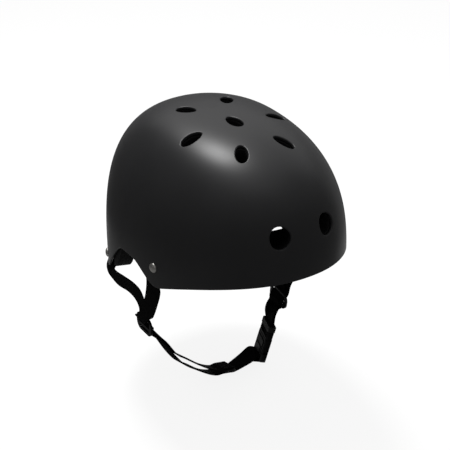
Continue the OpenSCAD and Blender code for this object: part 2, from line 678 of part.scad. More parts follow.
INNER_CHIN = concat(chin_start(-1, 0, 1.9), hanging([[-75.3, -4.8, -57.8, -0.85, 0, -0.5],
    [-68.6, -6, -68.2, -0.8, -0.1, -0.6],
    [-59, -7, -85.2, -0.75, -0.15, -0.65], [-49.8, -7.5, -94.3, -0.65, -0.2, -0.75],
    [-36.4, -8, -106.4, -0.63, -0.2, -0.74], [-22.7, -8, -118.2, -0.55, -0.25, -0.8],
    [-11.3, -8.4, -124.8, -0.35, -0.25, -0.9]]),
    [for (x = [-7, 0, 6]) adjuster_station(x, strap_rise)]);
OUTER_CHIN = concat(chin_start(-1, 1, 0.4), hanging([[-77.4, -4.8, -59, -0.85, 0, -0.5],
    [-70.2, -6, -69.5, -0.8, -0.1, -0.6],
    [-60.3, -7, -86.9, -0.75, -0.15, -0.65], [-49.8, -7.5, -101.2, -0.65, -0.2, -0.75],
    [-36.4, -8, -111.8, -0.6, -0.2, -0.74], [-23.2, -8, -122.3, -0.5, -0.25, -0.8],
    [-11.4, -8.2, -128.3, -0.3, -0.25, -0.95]]),
    [for (x = [-7, 0, 7]) adjuster_station(x, -strap_rise)],
    hanging([[19.5, -9.6, -128.6, 0.1, -0.1, -1], [29, -8.6, -126.2, 0.1, 0, -1]]),
    [buckle_station(-8.5, housing_bar + wrap + 1, 0.1, -1),
    buckle_station(-4.5, housing_bar + wrap + 0.4, 0.1, -1),
    buckle_station(0, housing_bar + wrap, 0, -1),
    buckle_station(wrap * 0.72, housing_bar + wrap * 0.72, -0.7, -0.7),
    buckle_station(wrap, housing_bar, -1, 0),
    buckle_station(wrap * 0.72, housing_bar - wrap * 0.72, -0.7, 0.7),
    buckle_station(0, housing_bar - wrap, 0, 1), buckle_station(-5, housing_bar - wrap, 0, 1),
    buckle_station(-10, housing_bar - wrap - 0.3, 0, 1),
    buckle_station(-15.5, housing_bar - wrap - 2.2, 0.2, 1)]);

// The left chin webbing goes down from the divider, round the tongue's bar and back up
LEFT_CHIN = concat(chin_start(1, 1, 0.3), hanging([[64.6, -6.3, -79, 0.8, 0, -0.5]]),
    [buckle_place(1, 0.5, 27, 1, 0),
    buckle_station(1.1, 22.5, 1, 0), buckle_station(1.5, 18, 1, 0), buckle_station(wrap, tongue_bar, 1, 0),
    buckle_station(wrap * 0.72, tongue_bar - wrap * 0.72, 0.7, -0.7),
    buckle_station(0, tongue_bar - wrap, 0, -1),
    buckle_station(-wrap * 0.72, tongue_bar - wrap * 0.72, -0.7, -0.7),
    buckle_station(-wrap, tongue_bar, -1, 0), buckle_station(-1.5, 18, -1, 0),
    buckle_station(-1.1, 22.5, -1, 0), buckle_place(-1, 0.5, 27, -1, 0)],
    hanging([[62.7, -6.3, -78, -0.8, 0, 0.5]]),
    [for (v = [slot_low - 8, slot_low - 3.7, slot_low - 2.2])
    let(p = divider_station(DIVIDER_LEFT, 1, v, inner_layer - layer_step)) [p[0], p[1], p[2], -1, 0, 0]]);

module chin_webbing_inner() {
    color(black_cloth) webbing(INNER_CHIN, 3);
}

module chin_webbing_outer() {
    color(black_cloth) webbing(OUTER_CHIN, 3);
}

module left_chin_webbing() {
    color(black_cloth) webbing(LEFT_CHIN, 3);
}

// Two slots with a bar between them, across the webbing
module chin_adjuster() {
    slot = (adjuster_width - 6.6) / 2;
    color(black_plastic) translate(ADJUSTER) rotate([0, adjuster_slope, 0])
        rotate([adjuster_tilt, 0, 0]) difference() {
        translate([0, 0, -adjuster_thick / 2]) rounded_plate(adjuster_width, adjuster_length, 2.5,
            adjuster_thick);
        for (s = [-1, 1]) {
            translate([s * (slot / 2 + 1.2) - slot / 2, -webbing_width / 2 - 0.75, -5])
                cube([slot, webbing_width + 1.5, 10]);
        }
    }
}

module buckle_frame() {
    translate(BUCKLE) rotate([0, buckle_lean, buckle_turn]) children();
}

// A block along Z with rounded long edges, x thick and y wide
module soft_block(x, y, low, high, radius) {
    translate([0, 0, low]) rounded_plate(x, y, radius, high - low);
}

module bar(z) {
    translate([0, cheek + 0.4, z]) rotate([90, 0, 0]) cylinder(r = bar_radius, h = 2 * cheek + 0.8,
        $fn = 32);
}

window_low = -11;
window_high = -2.4;

module buckle_housing() {
    inside_x = buckle_thick - 2 * housing_wall;
    inside_y = buckle_width - 2 * housing_wall - 0.4;
    color(black_plastic) buckle_frame() {
        difference() {
            soft_block(buckle_thick, buckle_width, housing_low, housing_high, 2.5);
            translate([-inside_x / 2, -inside_y / 2, housing_floor + 1.2])
                cube([inside_x, inside_y, housing_length]);
            translate([-buckle_thick, -cheek, housing_low - 1])
                cube([2 * buckle_thick, 2 * cheek, housing_floor - housing_low + 1]);
            translate([-inside_x / 2, -buckle_width, window_low])
                cube([inside_x, 2 * buckle_width, window_high - window_low]);
        }
        bar(housing_bar);
    }
}

// Spring arms of the tongue: each turns on a round root seated in the tongue's neck
prong_y = 8.6;
prong_root = 5.2;
root_radius = 1.5;
prong_thick = buckle_thick - 2 * housing_wall - 2 * buckle_clearance;

module buckle_tongue() {
    neck_y = buckle_width - 2 * housing_wall - 0.4 - 2 * buckle_clearance;
    color(black_plastic) buckle_frame() {
        difference() {
            union() {
                soft_block(buckle_thick - 0.6, buckle_width - 0.6, tongue_low, tongue_high, 2.2);
                translate([-prong_thick / 2, -neck_y / 2, prong_root - 2.2])
                    cube([prong_thick, neck_y, tongue_low - prong_root + 2.3]);
                translate([-1.5, -2, -8]) cube([3, 4, tongue_low + 8.1]);
            }
            translate([-buckle_thick, -cheek, tongue_slot]) cube([2 * buckle_thick, 2 * cheek,
                tongue_high]);
            for (s = [-1, 1]) {
                translate([-buckle_thick, s * prong_y, prong_root]) rotate([0, 90, 0])
                    cylinder(r = root_radius + root_clearance, h = 2 * buckle_thick, $fn = 32);
                translate([-buckle_thick, s * prong_y - root_radius - 0.6, prong_root - 5])
                    cube([2 * buckle_thick, 2 * root_radius + 1.2, 5]);
            }
        }
        bar(tongue_bar);
    }
}

module prong(s) {
    color(black_plastic) buckle_frame() union() {
        translate([-prong_thick / 2, s * prong_y, prong_root]) rotate([0, 90, 0])
            cylinder(r = root_radius, h = prong_thick, $fn = 32);
        translate([-prong_thick / 2, s * prong_y - 1.1, window_low + 1])
            cube([prong_thick, 2.2, prong_root - window_low - 1]);
        translate([-prong_thick / 2, 0, 0]) rotate([90, 0, 90]) linear_extrude(prong_thick)
            polygon([for (q = [[prong_y - 1.1, window_low + 0.3], [prong_y + 1.6, window_low + 0.3],
                [buckle_width / 2 - 0.3, window_low + 3.5], [buckle_width / 2 - 0.3, window_high - 0.3],
                [prong_y - 1.1, window_high - 0.3]]) [s * q[0], q[1]]]);
    }
}

module buckle_prong_front() {
    prong(-1);
}

module buckle_prong_rear() {
    prong(1);
}

module keeper() {
    inner_x = 2 * (1.6 + webbing_thick / 2 + keeper_gap);
    inner_y = webbing_width + 2 * keeper_gap;
    color(black_plastic) buckle_frame() difference() {
        soft_block(inner_x + 2 * keeper_wall, inner_y + 2 * keeper_wall, tongue_high + 0.7,
            tongue_high + 0.7 + keeper_height, 1.5);
        translate([-inner_x / 2, -inner_y / 2, 0]) cube([inner_x, inner_y, 60]);
    }
}

outer_shell();
foam_liner();
front_pad();
back_pad();
side_pad_right();
side_pad_left();
crown_pad();
hook_patches();
rivets();
rivet_washers();
front_webbing_right();
rear_webbing_right();
front_webbing_left();
rear_webbing_left();
divider_right();
divider_left();
chin_webbing_inner();
chin_webbing_outer();
chin_adjuster();
buckle_housing();
buckle_tongue();
buckle_prong_front();
buckle_prong_rear();
left_chin_webbing();
keeper();
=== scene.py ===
# Skate helmet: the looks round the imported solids.
# Shapes are worked out in millimetres and turned to metres as each mesh is made. The wearer
# faces -Y, the wearer's right side is -X and the crown is +Z, as in the solids.
import math
import bpy
import numpy as np
from mathutils import Matrix, Vector
from mathutils.geometry import delaunay_2d_cdt


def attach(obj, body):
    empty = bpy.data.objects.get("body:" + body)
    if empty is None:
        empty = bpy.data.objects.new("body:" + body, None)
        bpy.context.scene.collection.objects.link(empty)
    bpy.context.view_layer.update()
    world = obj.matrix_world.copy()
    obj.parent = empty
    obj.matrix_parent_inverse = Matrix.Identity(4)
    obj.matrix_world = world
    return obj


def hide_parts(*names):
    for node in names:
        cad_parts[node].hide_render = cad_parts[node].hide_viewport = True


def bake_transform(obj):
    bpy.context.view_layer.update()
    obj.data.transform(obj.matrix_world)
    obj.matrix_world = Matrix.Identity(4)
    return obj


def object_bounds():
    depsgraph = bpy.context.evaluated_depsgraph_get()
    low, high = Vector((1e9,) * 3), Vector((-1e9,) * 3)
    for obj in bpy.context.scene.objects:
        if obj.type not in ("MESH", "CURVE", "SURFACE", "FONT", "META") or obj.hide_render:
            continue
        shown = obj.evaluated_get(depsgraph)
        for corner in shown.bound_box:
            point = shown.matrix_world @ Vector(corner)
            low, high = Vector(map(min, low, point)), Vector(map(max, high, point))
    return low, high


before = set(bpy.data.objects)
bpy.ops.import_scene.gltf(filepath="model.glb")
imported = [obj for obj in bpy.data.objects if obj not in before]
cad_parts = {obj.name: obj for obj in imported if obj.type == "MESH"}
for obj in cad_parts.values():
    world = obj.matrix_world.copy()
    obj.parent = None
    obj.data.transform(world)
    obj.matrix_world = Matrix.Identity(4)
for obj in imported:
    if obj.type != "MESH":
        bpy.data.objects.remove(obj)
cad_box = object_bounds()
MM = 0.001


def new_object(name, data):
    """A new object in the scene."""
    made = bpy.data.objects.new(name, data)
    bpy.context.collection.objects.link(made)
    return made


def new_mesh(name, points, faces, material):
    """A new object from points, in metres, and faces."""
    mesh = bpy.data.meshes.new(name)
    mesh.from_pydata(points, [], faces)
    mesh.materials.append(material)
    return new_object(name, mesh)


def toward(azimuth, elevation):
    """A direction. Azimuth 0 is in front of the wearer."""
    level = math.cos(elevation)
    return Vector((math.sin(azimuth) * level, -math.cos(azimuth) * level, math.sin(elevation)))


def turned(x, y, angle):
    """Two coordinates, turned by an angle in radians."""
    return x * math.cos(angle) - y * math.sin(angle), x * math.sin(angle) + y * math.cos(angle)


# Camera, as the photograph

VIEW_AZIMUTH, VIEW_ELEVATION, VIEW_ROLL = map(math.radians, (-31.9022, 27.2969, 0.6751))
VIEW_DISTANCE = 0.97285
LOOK_AT = Vector((0, -0.0172, 0.075))
# Where LOOK_AT lies in the photograph, and its scale there in pixels per metre
LOOK_AT_PIXEL = (225.365, 197.399)
PIXELS_PER_METRE = 1055.8
FRAME_PIXELS = 450
SENSOR = 36.0


def make_camera():
    back = toward(VIEW_AZIMUTH, VIEW_ELEVATION)
    level = Vector((math.cos(VIEW_AZIMUTH), math.sin(VIEW_AZIMUTH), 0))
    upright = back.cross(level)
    right = level * math.cos(VIEW_ROLL) - upright * math.sin(VIEW_ROLL)
    up = level * math.sin(VIEW_ROLL) + upright * math.cos(VIEW_ROLL)
    data = bpy.data.cameras.new("camera")
    data.sensor_width = SENSOR
    data.lens = SENSOR * PIXELS_PER_METRE * VIEW_DISTANCE / FRAME_PIXELS
    data.shift_x = (FRAME_PIXELS / 2 - LOOK_AT_PIXEL[0]) / FRAME_PIXELS
    data.shift_y = (LOOK_AT_PIXEL[1] - FRAME_PIXELS / 2) / FRAME_PIXELS
    camera = new_object("camera", data)
    turn = Matrix((right, up, back)).transposed().to_4x4()
    camera.matrix_world = Matrix.Translation(LOOK_AT + back * VIEW_DISTANCE) @ turn
    bpy.context.scene.camera = camera


# Materials

def linear(code):
    """The linear colour of an sRGB hex value."""
    parts = [int(code[i:i + 2], 16) / 255 for i in (1, 3, 5)]
    return [p / 12.92 if p <= 0.04045 else ((p + 0.055) / 1.055) ** 2.4 for p in parts] + [1]


def add(tree, kind, inputs=None, **settings):
    """Adds a node. inputs holds, by socket, a value or what feeds it: an output, or a node whose
    first output does."""
    node = tree.nodes.new("ShaderNode" + kind)
    for name, value in settings.items():
        setattr(node, name, value)
    for socket, value in (inputs or {}).items():
        if isinstance(value, bpy.types.Node):
            value = value.outputs[0]
        if isinstance(value, bpy.types.NodeSocket):
            tree.links.new(value, node.inputs[socket])
        else:
            node.inputs[socket].default_value = value
    return node


def make_material(name, recipe):
    """A new material. The recipe fills its node tree and returns the surface's shader."""
    material = bpy.data.materials.new(name)
    material.use_nodes = True
    tree = material.node_tree
    tree.nodes.clear()
    add(tree, "OutputMaterial", {"Surface": recipe(tree)})
    return material


def surface(tree, shade, dark, light, rough, relief, depth, settings, invert=False):
    """A shader that goes from one tone to another with shade, and whose relief is depth deep.
    settings go to its other sockets. With invert, the relief is sunk."""
    tone = add(tree, "Mix", {0: shade, 6: linear(dark), 7: linear(light)}, data_type="RGBA")
    bump = add(tree, "Bump", {"Height": relief, "Distance": depth}, invert=invert)
    return add(tree, "BsdfPrincipled", {"Base Color": tone.outputs[2], "Roughness": rough,
                                        "Normal": bump, **settings})


def moulded_abs(tree):
    """Injection-moulded ABS from a fine-etched mould: near black, satin, with a soft round gloss
    and slow changes of sheen where the melt flowed."""
    where = add(tree, "TexCoord").outputs["Object"]
    # The etched grain is about 0.3 mm; it is drawn at 0.9 mm, so that it shows at all
    grain = add(tree, "TexNoise", {"Vector": where, "Scale": 1 / 0.0009, "Detail": 3})
    # Flow of the melt: slow changes over about 60 mm
    flow = add(tree, "TexNoise", {"Vector": where, "Scale": 1 / 0.06, "Detail": 3})
    # The rounded lips come off a polished part of the mould
    lip = add(tree, "Attribute", attribute_name="lip").outputs["Fac"]
    sheen = add(tree, "MapRange", {"Value": flow, "To Min": 0.335, "To Max": 0.39})
    lip_sheen = add(tree, "Math", {0: lip, 1: -0.03, 2: sheen}, operation="MULTIPLY_ADD")
    rough = add(tree, "Math", {0: grain, 1: 0.03, 2: lip_sheen}, operation="MULTIPLY_ADD")
    return surface(tree, flow, "#1b1b1c", "#232324", rough, grain, 0.000012,
                   {"IOR": 1.5, "Specular IOR Level": 0.2})


def expanded_polystyrene(tree):
    """Black expanded polystyrene: fused beads of about 3.5 mm with dull, pitted seams."""
    where = add(tree, "TexCoord").outputs["Object"]
    beads = add(tree, "TexVoronoi", {"Vector": where, "Scale": 1 / 0.0035, "Randomness": 0.9})
    pits = add(tree, "TexNoise", {"Vector": where, "Scale": 1 / 0.0012, "Detail": 4})
    bead_tone = add(tree, "SeparateXYZ", {0: beads.outputs["Color"]})
    rough = add(tree, "MapRange", {"Value": pits, "To Min": 0.6, "To Max": 0.85})
    hollow = add(tree, "Math", {0: beads, 1: 2.0}, operation="POWER")
    height = add(tree, "Math", {0: pits, 1: 0.15, 2: hollow}, operation="MULTIPLY_ADD")
    return surface(tree, bead_tone, "#080809", "#101011", rough, height, 0.0003,
                   {"IOR": 1.45, "Specular IOR Level": 0.15}, invert=True)


def knitted_nylon(tree):
    """Brushed warp-knit nylon over foam: dark and matt, with a faint bloom where it turns away."""
    where = add(tree, "TexCoord").outputs["Object"]
    # Loops of the knit are about 0.7 mm; drawn at 1.1 mm so that they show
    loops = add(tree, "TexVoronoi", {"Vector": where, "Scale": 1 / 0.0011, "Randomness": 0.35})
    pile = add(tree, "TexNoise", {"Vector": where, "Scale": 1 / 0.004, "Detail": 4})
    # Between the loops, where the relief sinks, the tone is painted darker, as painted shade; the
    # pile also varies it at random.
    shade = add(tree, "Math", {0: loops, 1: pile, 2: pile}, operation="MULTIPLY_ADD")
    rough = add(tree, "MapRange", {"Value": pile, "To Min": 0.75, "To Max": 0.95})
    height = add(tree, "Math", {0: pile, 1: -0.6, 2: loops}, operation="MULTIPLY_ADD")
    return surface(tree, shade, "#111113", "#070708", rough, height, 0.00025,
                   {"IOR": 1.45, "Specular IOR Level": 0.06, "Sheen Weight": 0.06,
                    "Sheen Roughness": 0.5, "Sheen Tint": linear("#77777b")}, invert=True)


def nylon_hooks(tree):
    """Woven nylon hook tape: rows of stiff hooks 1.6 mm apart, with small glints."""
    where = add(tree, "TexCoord").outputs["Object"]
    hooks = add(tree, "TexVoronoi", {"Vector": where, "Scale": 1 / 0.0016, "Randomness": 0.15})
    rough = add(tree, "MapRange", {"Value": hooks, "To Min": 0.35, "To Max": 0.7})
    # The tone follows the relief: the hooks' raised tops are painted lighter, as a painted
    # highlight, and the gaps between them darker, as painted shade. The small glints come partly
    # from this and partly from the lower roughness on the hooks.
    return surface(tree, hooks, "#2a2a2b", "#0d0d0e", rough, hooks, 0.0005,
                   {"IOR": 1.53, "Specular IOR Level": 0.3}, invert=True)


# Blender's band wave repeats every 2 pi / 20 of its scaled coordinate
WAVE_LENGTH = math.pi / 10


def woven_polyester(tree):
    """Tightly woven polyester webbing: warp cords lengthways, over and under each pick of the weft,
    which swallow nearly all light."""
    where = add(tree, "Attribute", attribute_name="weave").outputs["Vector"]
    # Cords are 0.9 mm apart and picks 1.1 mm; drawn at 1.25 mm and 1.8 mm so that they show
    cords = add(tree, "TexWave", {"Vector": where, "Scale": WAVE_LENGTH / 0.00125}).outputs["Fac"]
    pairs = add(tree, "TexWave", {"Vector": where, "Scale": WAVE_LENGTH / 0.0025}).outputs["Fac"]
    over = add(tree, "Math", {0: pairs, 1: 0.5}, operation="GREATER_THAN")
    picks = add(tree, "TexWave", {"Vector": where, "Scale": WAVE_LENGTH / 0.0018},
                bands_direction="Y").outputs["Fac"]
    between = add(tree, "TexWave", {"Vector": where, "Scale": WAVE_LENGTH / 0.0018,
                                    "Phase Offset": math.pi}, bands_direction="Y").outputs["Fac"]
    weft = add(tree, "Mix", {0: over, 2: picks, 3: between})
    fuzz = add(tree, "TexNoise", {"Vector": add(tree, "TexCoord").outputs["Object"],
                                  "Scale": 1 / 0.0016, "Detail": 4})
    cloth = add(tree, "Math", {0: cords, 1: weft}, operation="MULTIPLY")
    height = add(tree, "Math", {0: fuzz, 1: 0.2, 2: cloth}, operation="MULTIPLY_ADD")
    rough = add(tree, "MapRange", {"Value": fuzz, "To Min": 0.7, "To Max": 0.9})
    # The tone follows the relief: the raised cords and picks are painted lighter and the hollows
    # between them darker, as painted shade.
    return surface(tree, height, "#030303", "#0b0b0c", rough, height, 0.0002,
                   {"IOR": 1.5, "Specular IOR Level": 0.03})


def moulded_acetal(tree):
    """Acetal from a lightly blasted mould: black, with a tighter gloss than the shell."""
    where = add(tree, "TexCoord").outputs["Object"]
    # The blasted grain is about 0.2 mm; it is drawn at 0.6 mm, so that it shows
    grain = add(tree, "TexNoise", {"Vector": where, "Scale": 1 / 0.0006, "Detail": 3})
    flow = add(tree, "TexNoise", {"Vector": where, "Scale": 1 / 0.012, "Detail": 2})
    sheen = add(tree, "MapRange", {"Value": flow, "To Min": 0.36, "To Max": 0.46})
    rough = add(tree, "Math", {0: grain, 1: 0.08, 2: sheen}, operation="MULTIPLY_ADD")
    return surface(tree, flow, "#070708", "#0e0e0f", rough, grain, 0.00002,
                   {"IOR": 1.48, "Specular IOR Level": 0.09})


def nickel_plate(tree):
    """Nickel-plated steel rivets, tumbled: a soft grey sheen with one bright glint and fine
    scratches."""
    where = add(tree, "TexCoord").outputs["Object"]
    haze = add(tree, "TexNoise", {"Vector": where, "Scale": 1 / 0.002, "Detail": 3})
    drawn_out = add(tree, "Mapping", {"Vector": where, "Scale": (1, 8, 1)})
    # Scratches are 0.1 mm wide; they are drawn at about 1 mm
    scratch = add(tree, "TexNoise", {"Vector": drawn_out, "Scale": 900, "Detail": 2})
    sheen = add(tree, "MapRange", {"Value": haze, "To Min": 0.32, "To Max": 0.42})
    rough = add(tree, "Math", {0: scratch, 1: 0.06, 2: sheen}, operation="MULTIPLY_ADD")
    return surface(tree, haze, "#a3a19d", "#bcbab6", rough, scratch, 0.00001,
                   {"Metallic": 1.0})


def zinc_plate(tree):
    """Zinc-plated steel washers: blue-grey, dull from the barrel."""
    where = add(tree, "TexCoord").outputs["Object"]
    spangle = add(tree, "TexNoise", {"Vector": where, "Scale": 1 / 0.0015, "Detail": 3})
    rough = add(tree, "MapRange", {"Value": spangle, "To Min": 0.35, "To Max": 0.5})
    return surface(tree, spangle, "#8e9296", "#a9adb1", rough, spangle, 0.00002,
                   {"Metallic": 1.0})


def moulded_rubber(tree):
    """Moulded EPDM rubber: black, dull, with a dusty bloom."""
    where = add(tree, "TexCoord").outputs["Object"]
    bloom = add(tree, "TexNoise", {"Vector": where, "Scale": 1 / 0.005, "Detail": 4})
    grain = add(tree, "TexNoise", {"Vector": where, "Scale": 1 / 0.0007, "Detail": 2})
    rough = add(tree, "MapRange", {"Value": bloom, "To Min": 0.55, "To Max": 0.72})
    return surface(tree, bloom, "#0c0c0c", "#161616", rough, grain, 0.00003,
                   {"IOR": 1.5, "Specular IOR Level": 0.25})


ABS = make_material("moulded_abs_satin", moulded_abs)
FOAM = make_material("expanded_polystyrene", expanded_polystyrene)
KNIT = make_material("knitted_nylon", knitted_nylon)
HOOKS = make_material("nylon_hook_tape", nylon_hooks)
WEAVE = make_material("woven_polyester", woven_polyester)
ACETAL = make_material("moulded_acetal", moulded_acetal)
NICKEL = make_material("nickel_plated_steel", nickel_plate)
ZINC = make_material("zinc_plated_steel", zinc_plate)
RUBBER = make_material("moulded_rubber", moulded_rubber)


# Meshes

def unit(v):
    """Vectors at length 1."""
    return v / np.maximum(np.linalg.norm(v, axis=-1, keepdims=True), 1e-12)


class Skin:
    """Points with their normals, and faces, gathered into one closed mesh."""

    def __init__(self):
        self.points, self.normals, self.faces, self.notes = [], [], [], []
        self.count = 0

    def ring(self, points, normals, note=0.0):
        """Adds points and returns the index of the first."""
        points = np.asarray(points, float).reshape(-1, 3)
        self.points.append(points)
        self.normals.append(np.broadcast_to(normals, points.shape).reshape(-1, 3))
        self.notes.append(np.full(len(points), note) if np.isscalar(note) else np.asarray(note))
        self.count += len(points)
        return self.count - len(points)

    def sheet(self, points, normals, faces):
        """Adds points with faces between them, and returns the index of the first."""
        first = self.ring(points, normals)
        self.faces += [tuple(int(i) for i in f + first) for f in faces]
        return first

    def cap(self, first):
        """One face over the points from first on."""
        self.faces.append(tuple(range(first, self.count)))

    def bands(self, rows, n):
        """Quads between closed rows of n points, each row given by the index of its first."""
        for low, high in zip(rows, rows[1:]):
            for i in range(n):
                k = (i + 1) % n
                self.faces.append((low + i, low + k, high + k, high + i))

    def make(self, name, material, note_name=None):
        """The object, its faces turned to agree with the normals. note_name is the attribute that
        the notes go to, for the material to read."""
        points, normals = np.vstack(self.points), unit(np.vstack(self.normals))
        faces = []
        for f in self.faces:
            a, b, c = points[f[0]], points[f[1]], points[f[2]]
            out = normals[list(f)].sum(0)
            faces.append(f if np.dot(np.cross(b - a, c - a), out) > 0 else f[::-1])
        made = new_mesh(name, (points * MM).tolist(), faces, material)
        mesh = made.data
        mesh.shade_smooth()
        if note_name:
            notes = np.concatenate([n.reshape(len(n), -1) for n in self.notes])
            wide = notes.shape[1] == 3
            layer = mesh.attributes.new(note_name, "FLOAT_VECTOR" if wide else "FLOAT", "POINT")
            layer.data.foreach_set("vector" if wide else "value", notes.ravel())
        mesh.normals_split_custom_set_from_vertices(normals.tolist())
        return made


# The dome, as in the solids

# Half width, reach to the front, reach to the back, height
SHELL = np.array([103, 152, 118, 160.0])
SHELL_WALL, LINER_GAP = 3.0, 0.4
LINER = SHELL - SHELL_WALL - LINER_GAP
# The liner's thickness at the side, the front, the back and the top
LINER_WALL = (15, 23, 22, 20)
LINER_IN = LINER - LINER_WALL
PLAN_POWER = 2.09
LOBE, NOTCH_START, NOTCH_END, NOTCH_BACK = 64, 78, 94, 121
NOTCH_TOP, NAPE, BROW, BROW_POWER = 42, -8, 58, 0.6
LINER_RECESS, LINER_LOBE = 6, 5
# At the front, the sides and the back: height where the dome starts to close, the power of its
# curve, and how far its skirt draws in at SKIRT_DEPTH below that height
DOME_BASE, DOME_POWER = (50, -12, 35), (2.73, 3.02, 2.76)
SKIRT_DRAW, SKIRT_DEPTH = (0.01, 0.012, 0.022), 60
# The strap channels' depth, their half width and sides in degrees, and the height they fade over
CHANNEL_DEPTH, CHANNEL_HALF, CHANNEL_SIDE, CHANNEL_FADE = 6.5, 12, 4, 14
# Angle from the front and top of each
CHANNELS = ((61.8, 74), (122, 36))
# A place inside every skin, from which all of it is seen
CORE = np.array([0, -17, 40.0])


def around(a, front, side, back):
    """A measure that goes smoothly from the front to the sides and the back. a is the angle from
    the front, in radians."""
    return side * np.sin(a) ** 2 + np.where(np.cos(a) > 0, front, back) * np.cos(a) ** 2


def plan_radius(a, skin):
    """Radius of a skin's plan."""
    reach = np.where(np.cos(a) > 0, skin[1], skin[2])
    return ((np.abs(np.sin(a)) / skin[0]) ** PLAN_POWER
            + (np.abs(np.cos(a)) / reach) ** PLAN_POWER) ** (-1 / PLAN_POWER)


def dome_radius(a, z, skin):
    base, power = around(a, *DOME_BASE), around(a, *DOME_POWER)
    up = np.clip((z - base) / (skin[3] - base), 0, 1)
    down = np.maximum(base - z, 0) / SKIRT_DEPTH
    return (plan_radius(a, skin) * (1 - up ** power) ** (1 / power)
            * (1 - around(a, *SKIRT_DRAW) * down * down))


def ease(t):
    """0 to 1, with a soft start and end."""
    t = np.clip(t, 0, 1)
    return t * t * (3 - 2 * t)


def channels(a, z):
    """Depth of the strap channels in the liner's outer face."""
    b = np.abs(np.degrees(np.arctan2(np.sin(a), np.cos(a))))
    return CHANNEL_DEPTH * sum(
        ease((CHANNEL_HALF - np.abs(b - at)) / CHANNEL_SIDE) * ease((top - z) / CHANNEL_FADE)
        for at, top in CHANNELS)


def shell_skin(a, z):
    return dome_radius(a, z, SHELL)


def liner_skin(a, z):
    return dome_radius(a, z, LINER) - channels(a, z)


def liner_inner_skin(a, z):
    return dome_radius(a, z, LINER_IN)


def beyond(p, skin):
    """How far points lie outside a skin, measured level."""
    return np.hypot(p[..., 0], p[..., 1]) - skin(np.arctan2(p[..., 0], -p[..., 1]), p[..., 2])


def meet(start, way, skin, far=260.0, halvings=40):
    """Where lines that start inside a skin meet it."""
    low, high = np.zeros(len(way)), np.full(len(way), far)
    for _ in range(halvings):
        middle = (low + high) / 2
        out = beyond(start + way * middle[:, None], skin) > 0
        low, high = np.where(out, low, middle), np.where(out, middle, high)
    return start + way * low[:, None]


def outward(p, skin, step=0.3):
    """Normals of a skin at points on it."""
    slopes = []
    for axis in range(3):
        shift = np.zeros(3)
        shift[axis] = step
        slopes.append(beyond(p + shift, skin) - beyond(p - shift, skin))
    return unit(np.stack(slopes, -1))


def on_skin(a, z, skin):
    """Points of a skin at angles and heights."""
    r = skin(a, z)
    return np.stack([r * np.sin(a), -r * np.cos(a), z], -1)


def flat(p):
    """Points as angles from the crown, seen from CORE."""
    d = unit(p - CORE)
    tilt = np.arccos(np.clip(d[:, 2], -1, 1))
    return d[:, :2] / np.maximum(np.hypot(d[:, 0], d[:, 1]), 1e-9)[:, None] * tilt[:, None]


def ways(q):
    """Directions from CORE of such flat points."""
    tilt = np.hypot(q[:, 0], q[:, 1])
    side = np.sin(tilt) / np.maximum(tilt, 1e-9)
    return np.stack([q[:, 0] * side, q[:, 1] * side, np.cos(tilt)], -1)


def inside(q, loop):
    """Which flat points lie inside a loop."""
    x, y = q[:, :1], q[:, 1:]
    ax, ay = loop[:, 0], loop[:, 1]
    bx, by = np.roll(ax, -1), np.roll(ay, -1)
    crosses = (ay > y) != (by > y)
    at = ax + (y - ay) / np.where(by == ay, 1, by - ay) * (bx - ax)
    return ((crosses & (x < at)).sum(1) % 2) == 1


def between(q, loops):
    """Which flat points lie inside the first loop and outside the others."""
    return inside(q, loops[0]) & ~np.any([inside(q, loop) for loop in loops[1:]], axis=0)


# Every edge lies within this angle of the crown, seen from CORE
FLAT_REACH = 2.2
# As shares of the spacing: how far the rows lie apart, and what is kept free beside a loop
ROW_STEP, LOOP_GAP = 0.866, 0.6


def triangulate(loops, spacing):
    """Flat grid points and triangles inside the first loop and outside the others. The loops'
    points come first, in order."""
    flats = [flat(l) for l in loops]
    fixed = np.vstack(flats)
    across = np.arange(-FLAT_REACH, FLAT_REACH, spacing)
    rows = np.arange(-FLAT_REACH, FLAT_REACH, spacing * ROW_STEP)
    grid = np.vstack([np.stack([across + (i % 2) * spacing / 2, np.full(len(across), y)], -1)
                      for i, y in enumerate(rows)])
    grid = grid[between(grid, flats)]
    gap = np.min([np.hypot(grid[:, 0] - x, grid[:, 1] - y) for x, y in fixed], axis=0)
    grid = grid[gap > LOOP_GAP * spacing]
    edges, first = [], 0
    for loop in flats:
        n = len(loop)
        edges += [(first + i, first + (i + 1) % n) for i in range(n)]
        first += n
    every = np.vstack([fixed, grid])
    _, _, faces, origin, _, _ = delaunay_2d_cdt([Vector(p) for p in every], edges, [], 0, 1e-8)
    source = [o[0] for o in origin]
    faces = np.array([[source[i] for i in f] for f in faces])
    return grid, faces[between(every[faces].mean(1), flats)]


# Edges and vents. An edge is a height for each angle from the front, in degrees.

# The brow's curve comes down to the lobe here, and would reach zero at BROW_END
LOBE_START, BROW_END = LOBE - 4, 95
LOBE_DROP = 1.5
# From LINER_EDGE_START on, the liner's edge leaves the shell's, through these angles and heights
LINER_EDGE_START = 76
LINER_EDGE = ((92, 100, 108, 122),
              (NOTCH_TOP + LINER_RECESS, LINER_LOBE + 12, LINER_LOBE, NAPE + LINER_RECESS))


def spread(f, b, width=6.0, taps=25):
    """An edge's height, its corners rounded over a few degrees."""
    shifts = np.linspace(-width, width, taps)
    weights = 1 - np.abs(shifts) / (width * 1.1)
    return sum(w * f(np.abs(b + s)) for w, s in zip(weights, shifts)) / weights.sum()


def brow_edge(b):
    low = np.minimum(b, BROW_END - 1)
    return BROW * (0.5 + 0.5 * np.cos(np.pi * low / BROW_END)) ** BROW_POWER


LOBE_LOW = float(brow_edge(LOBE_START)) - LOBE_DROP


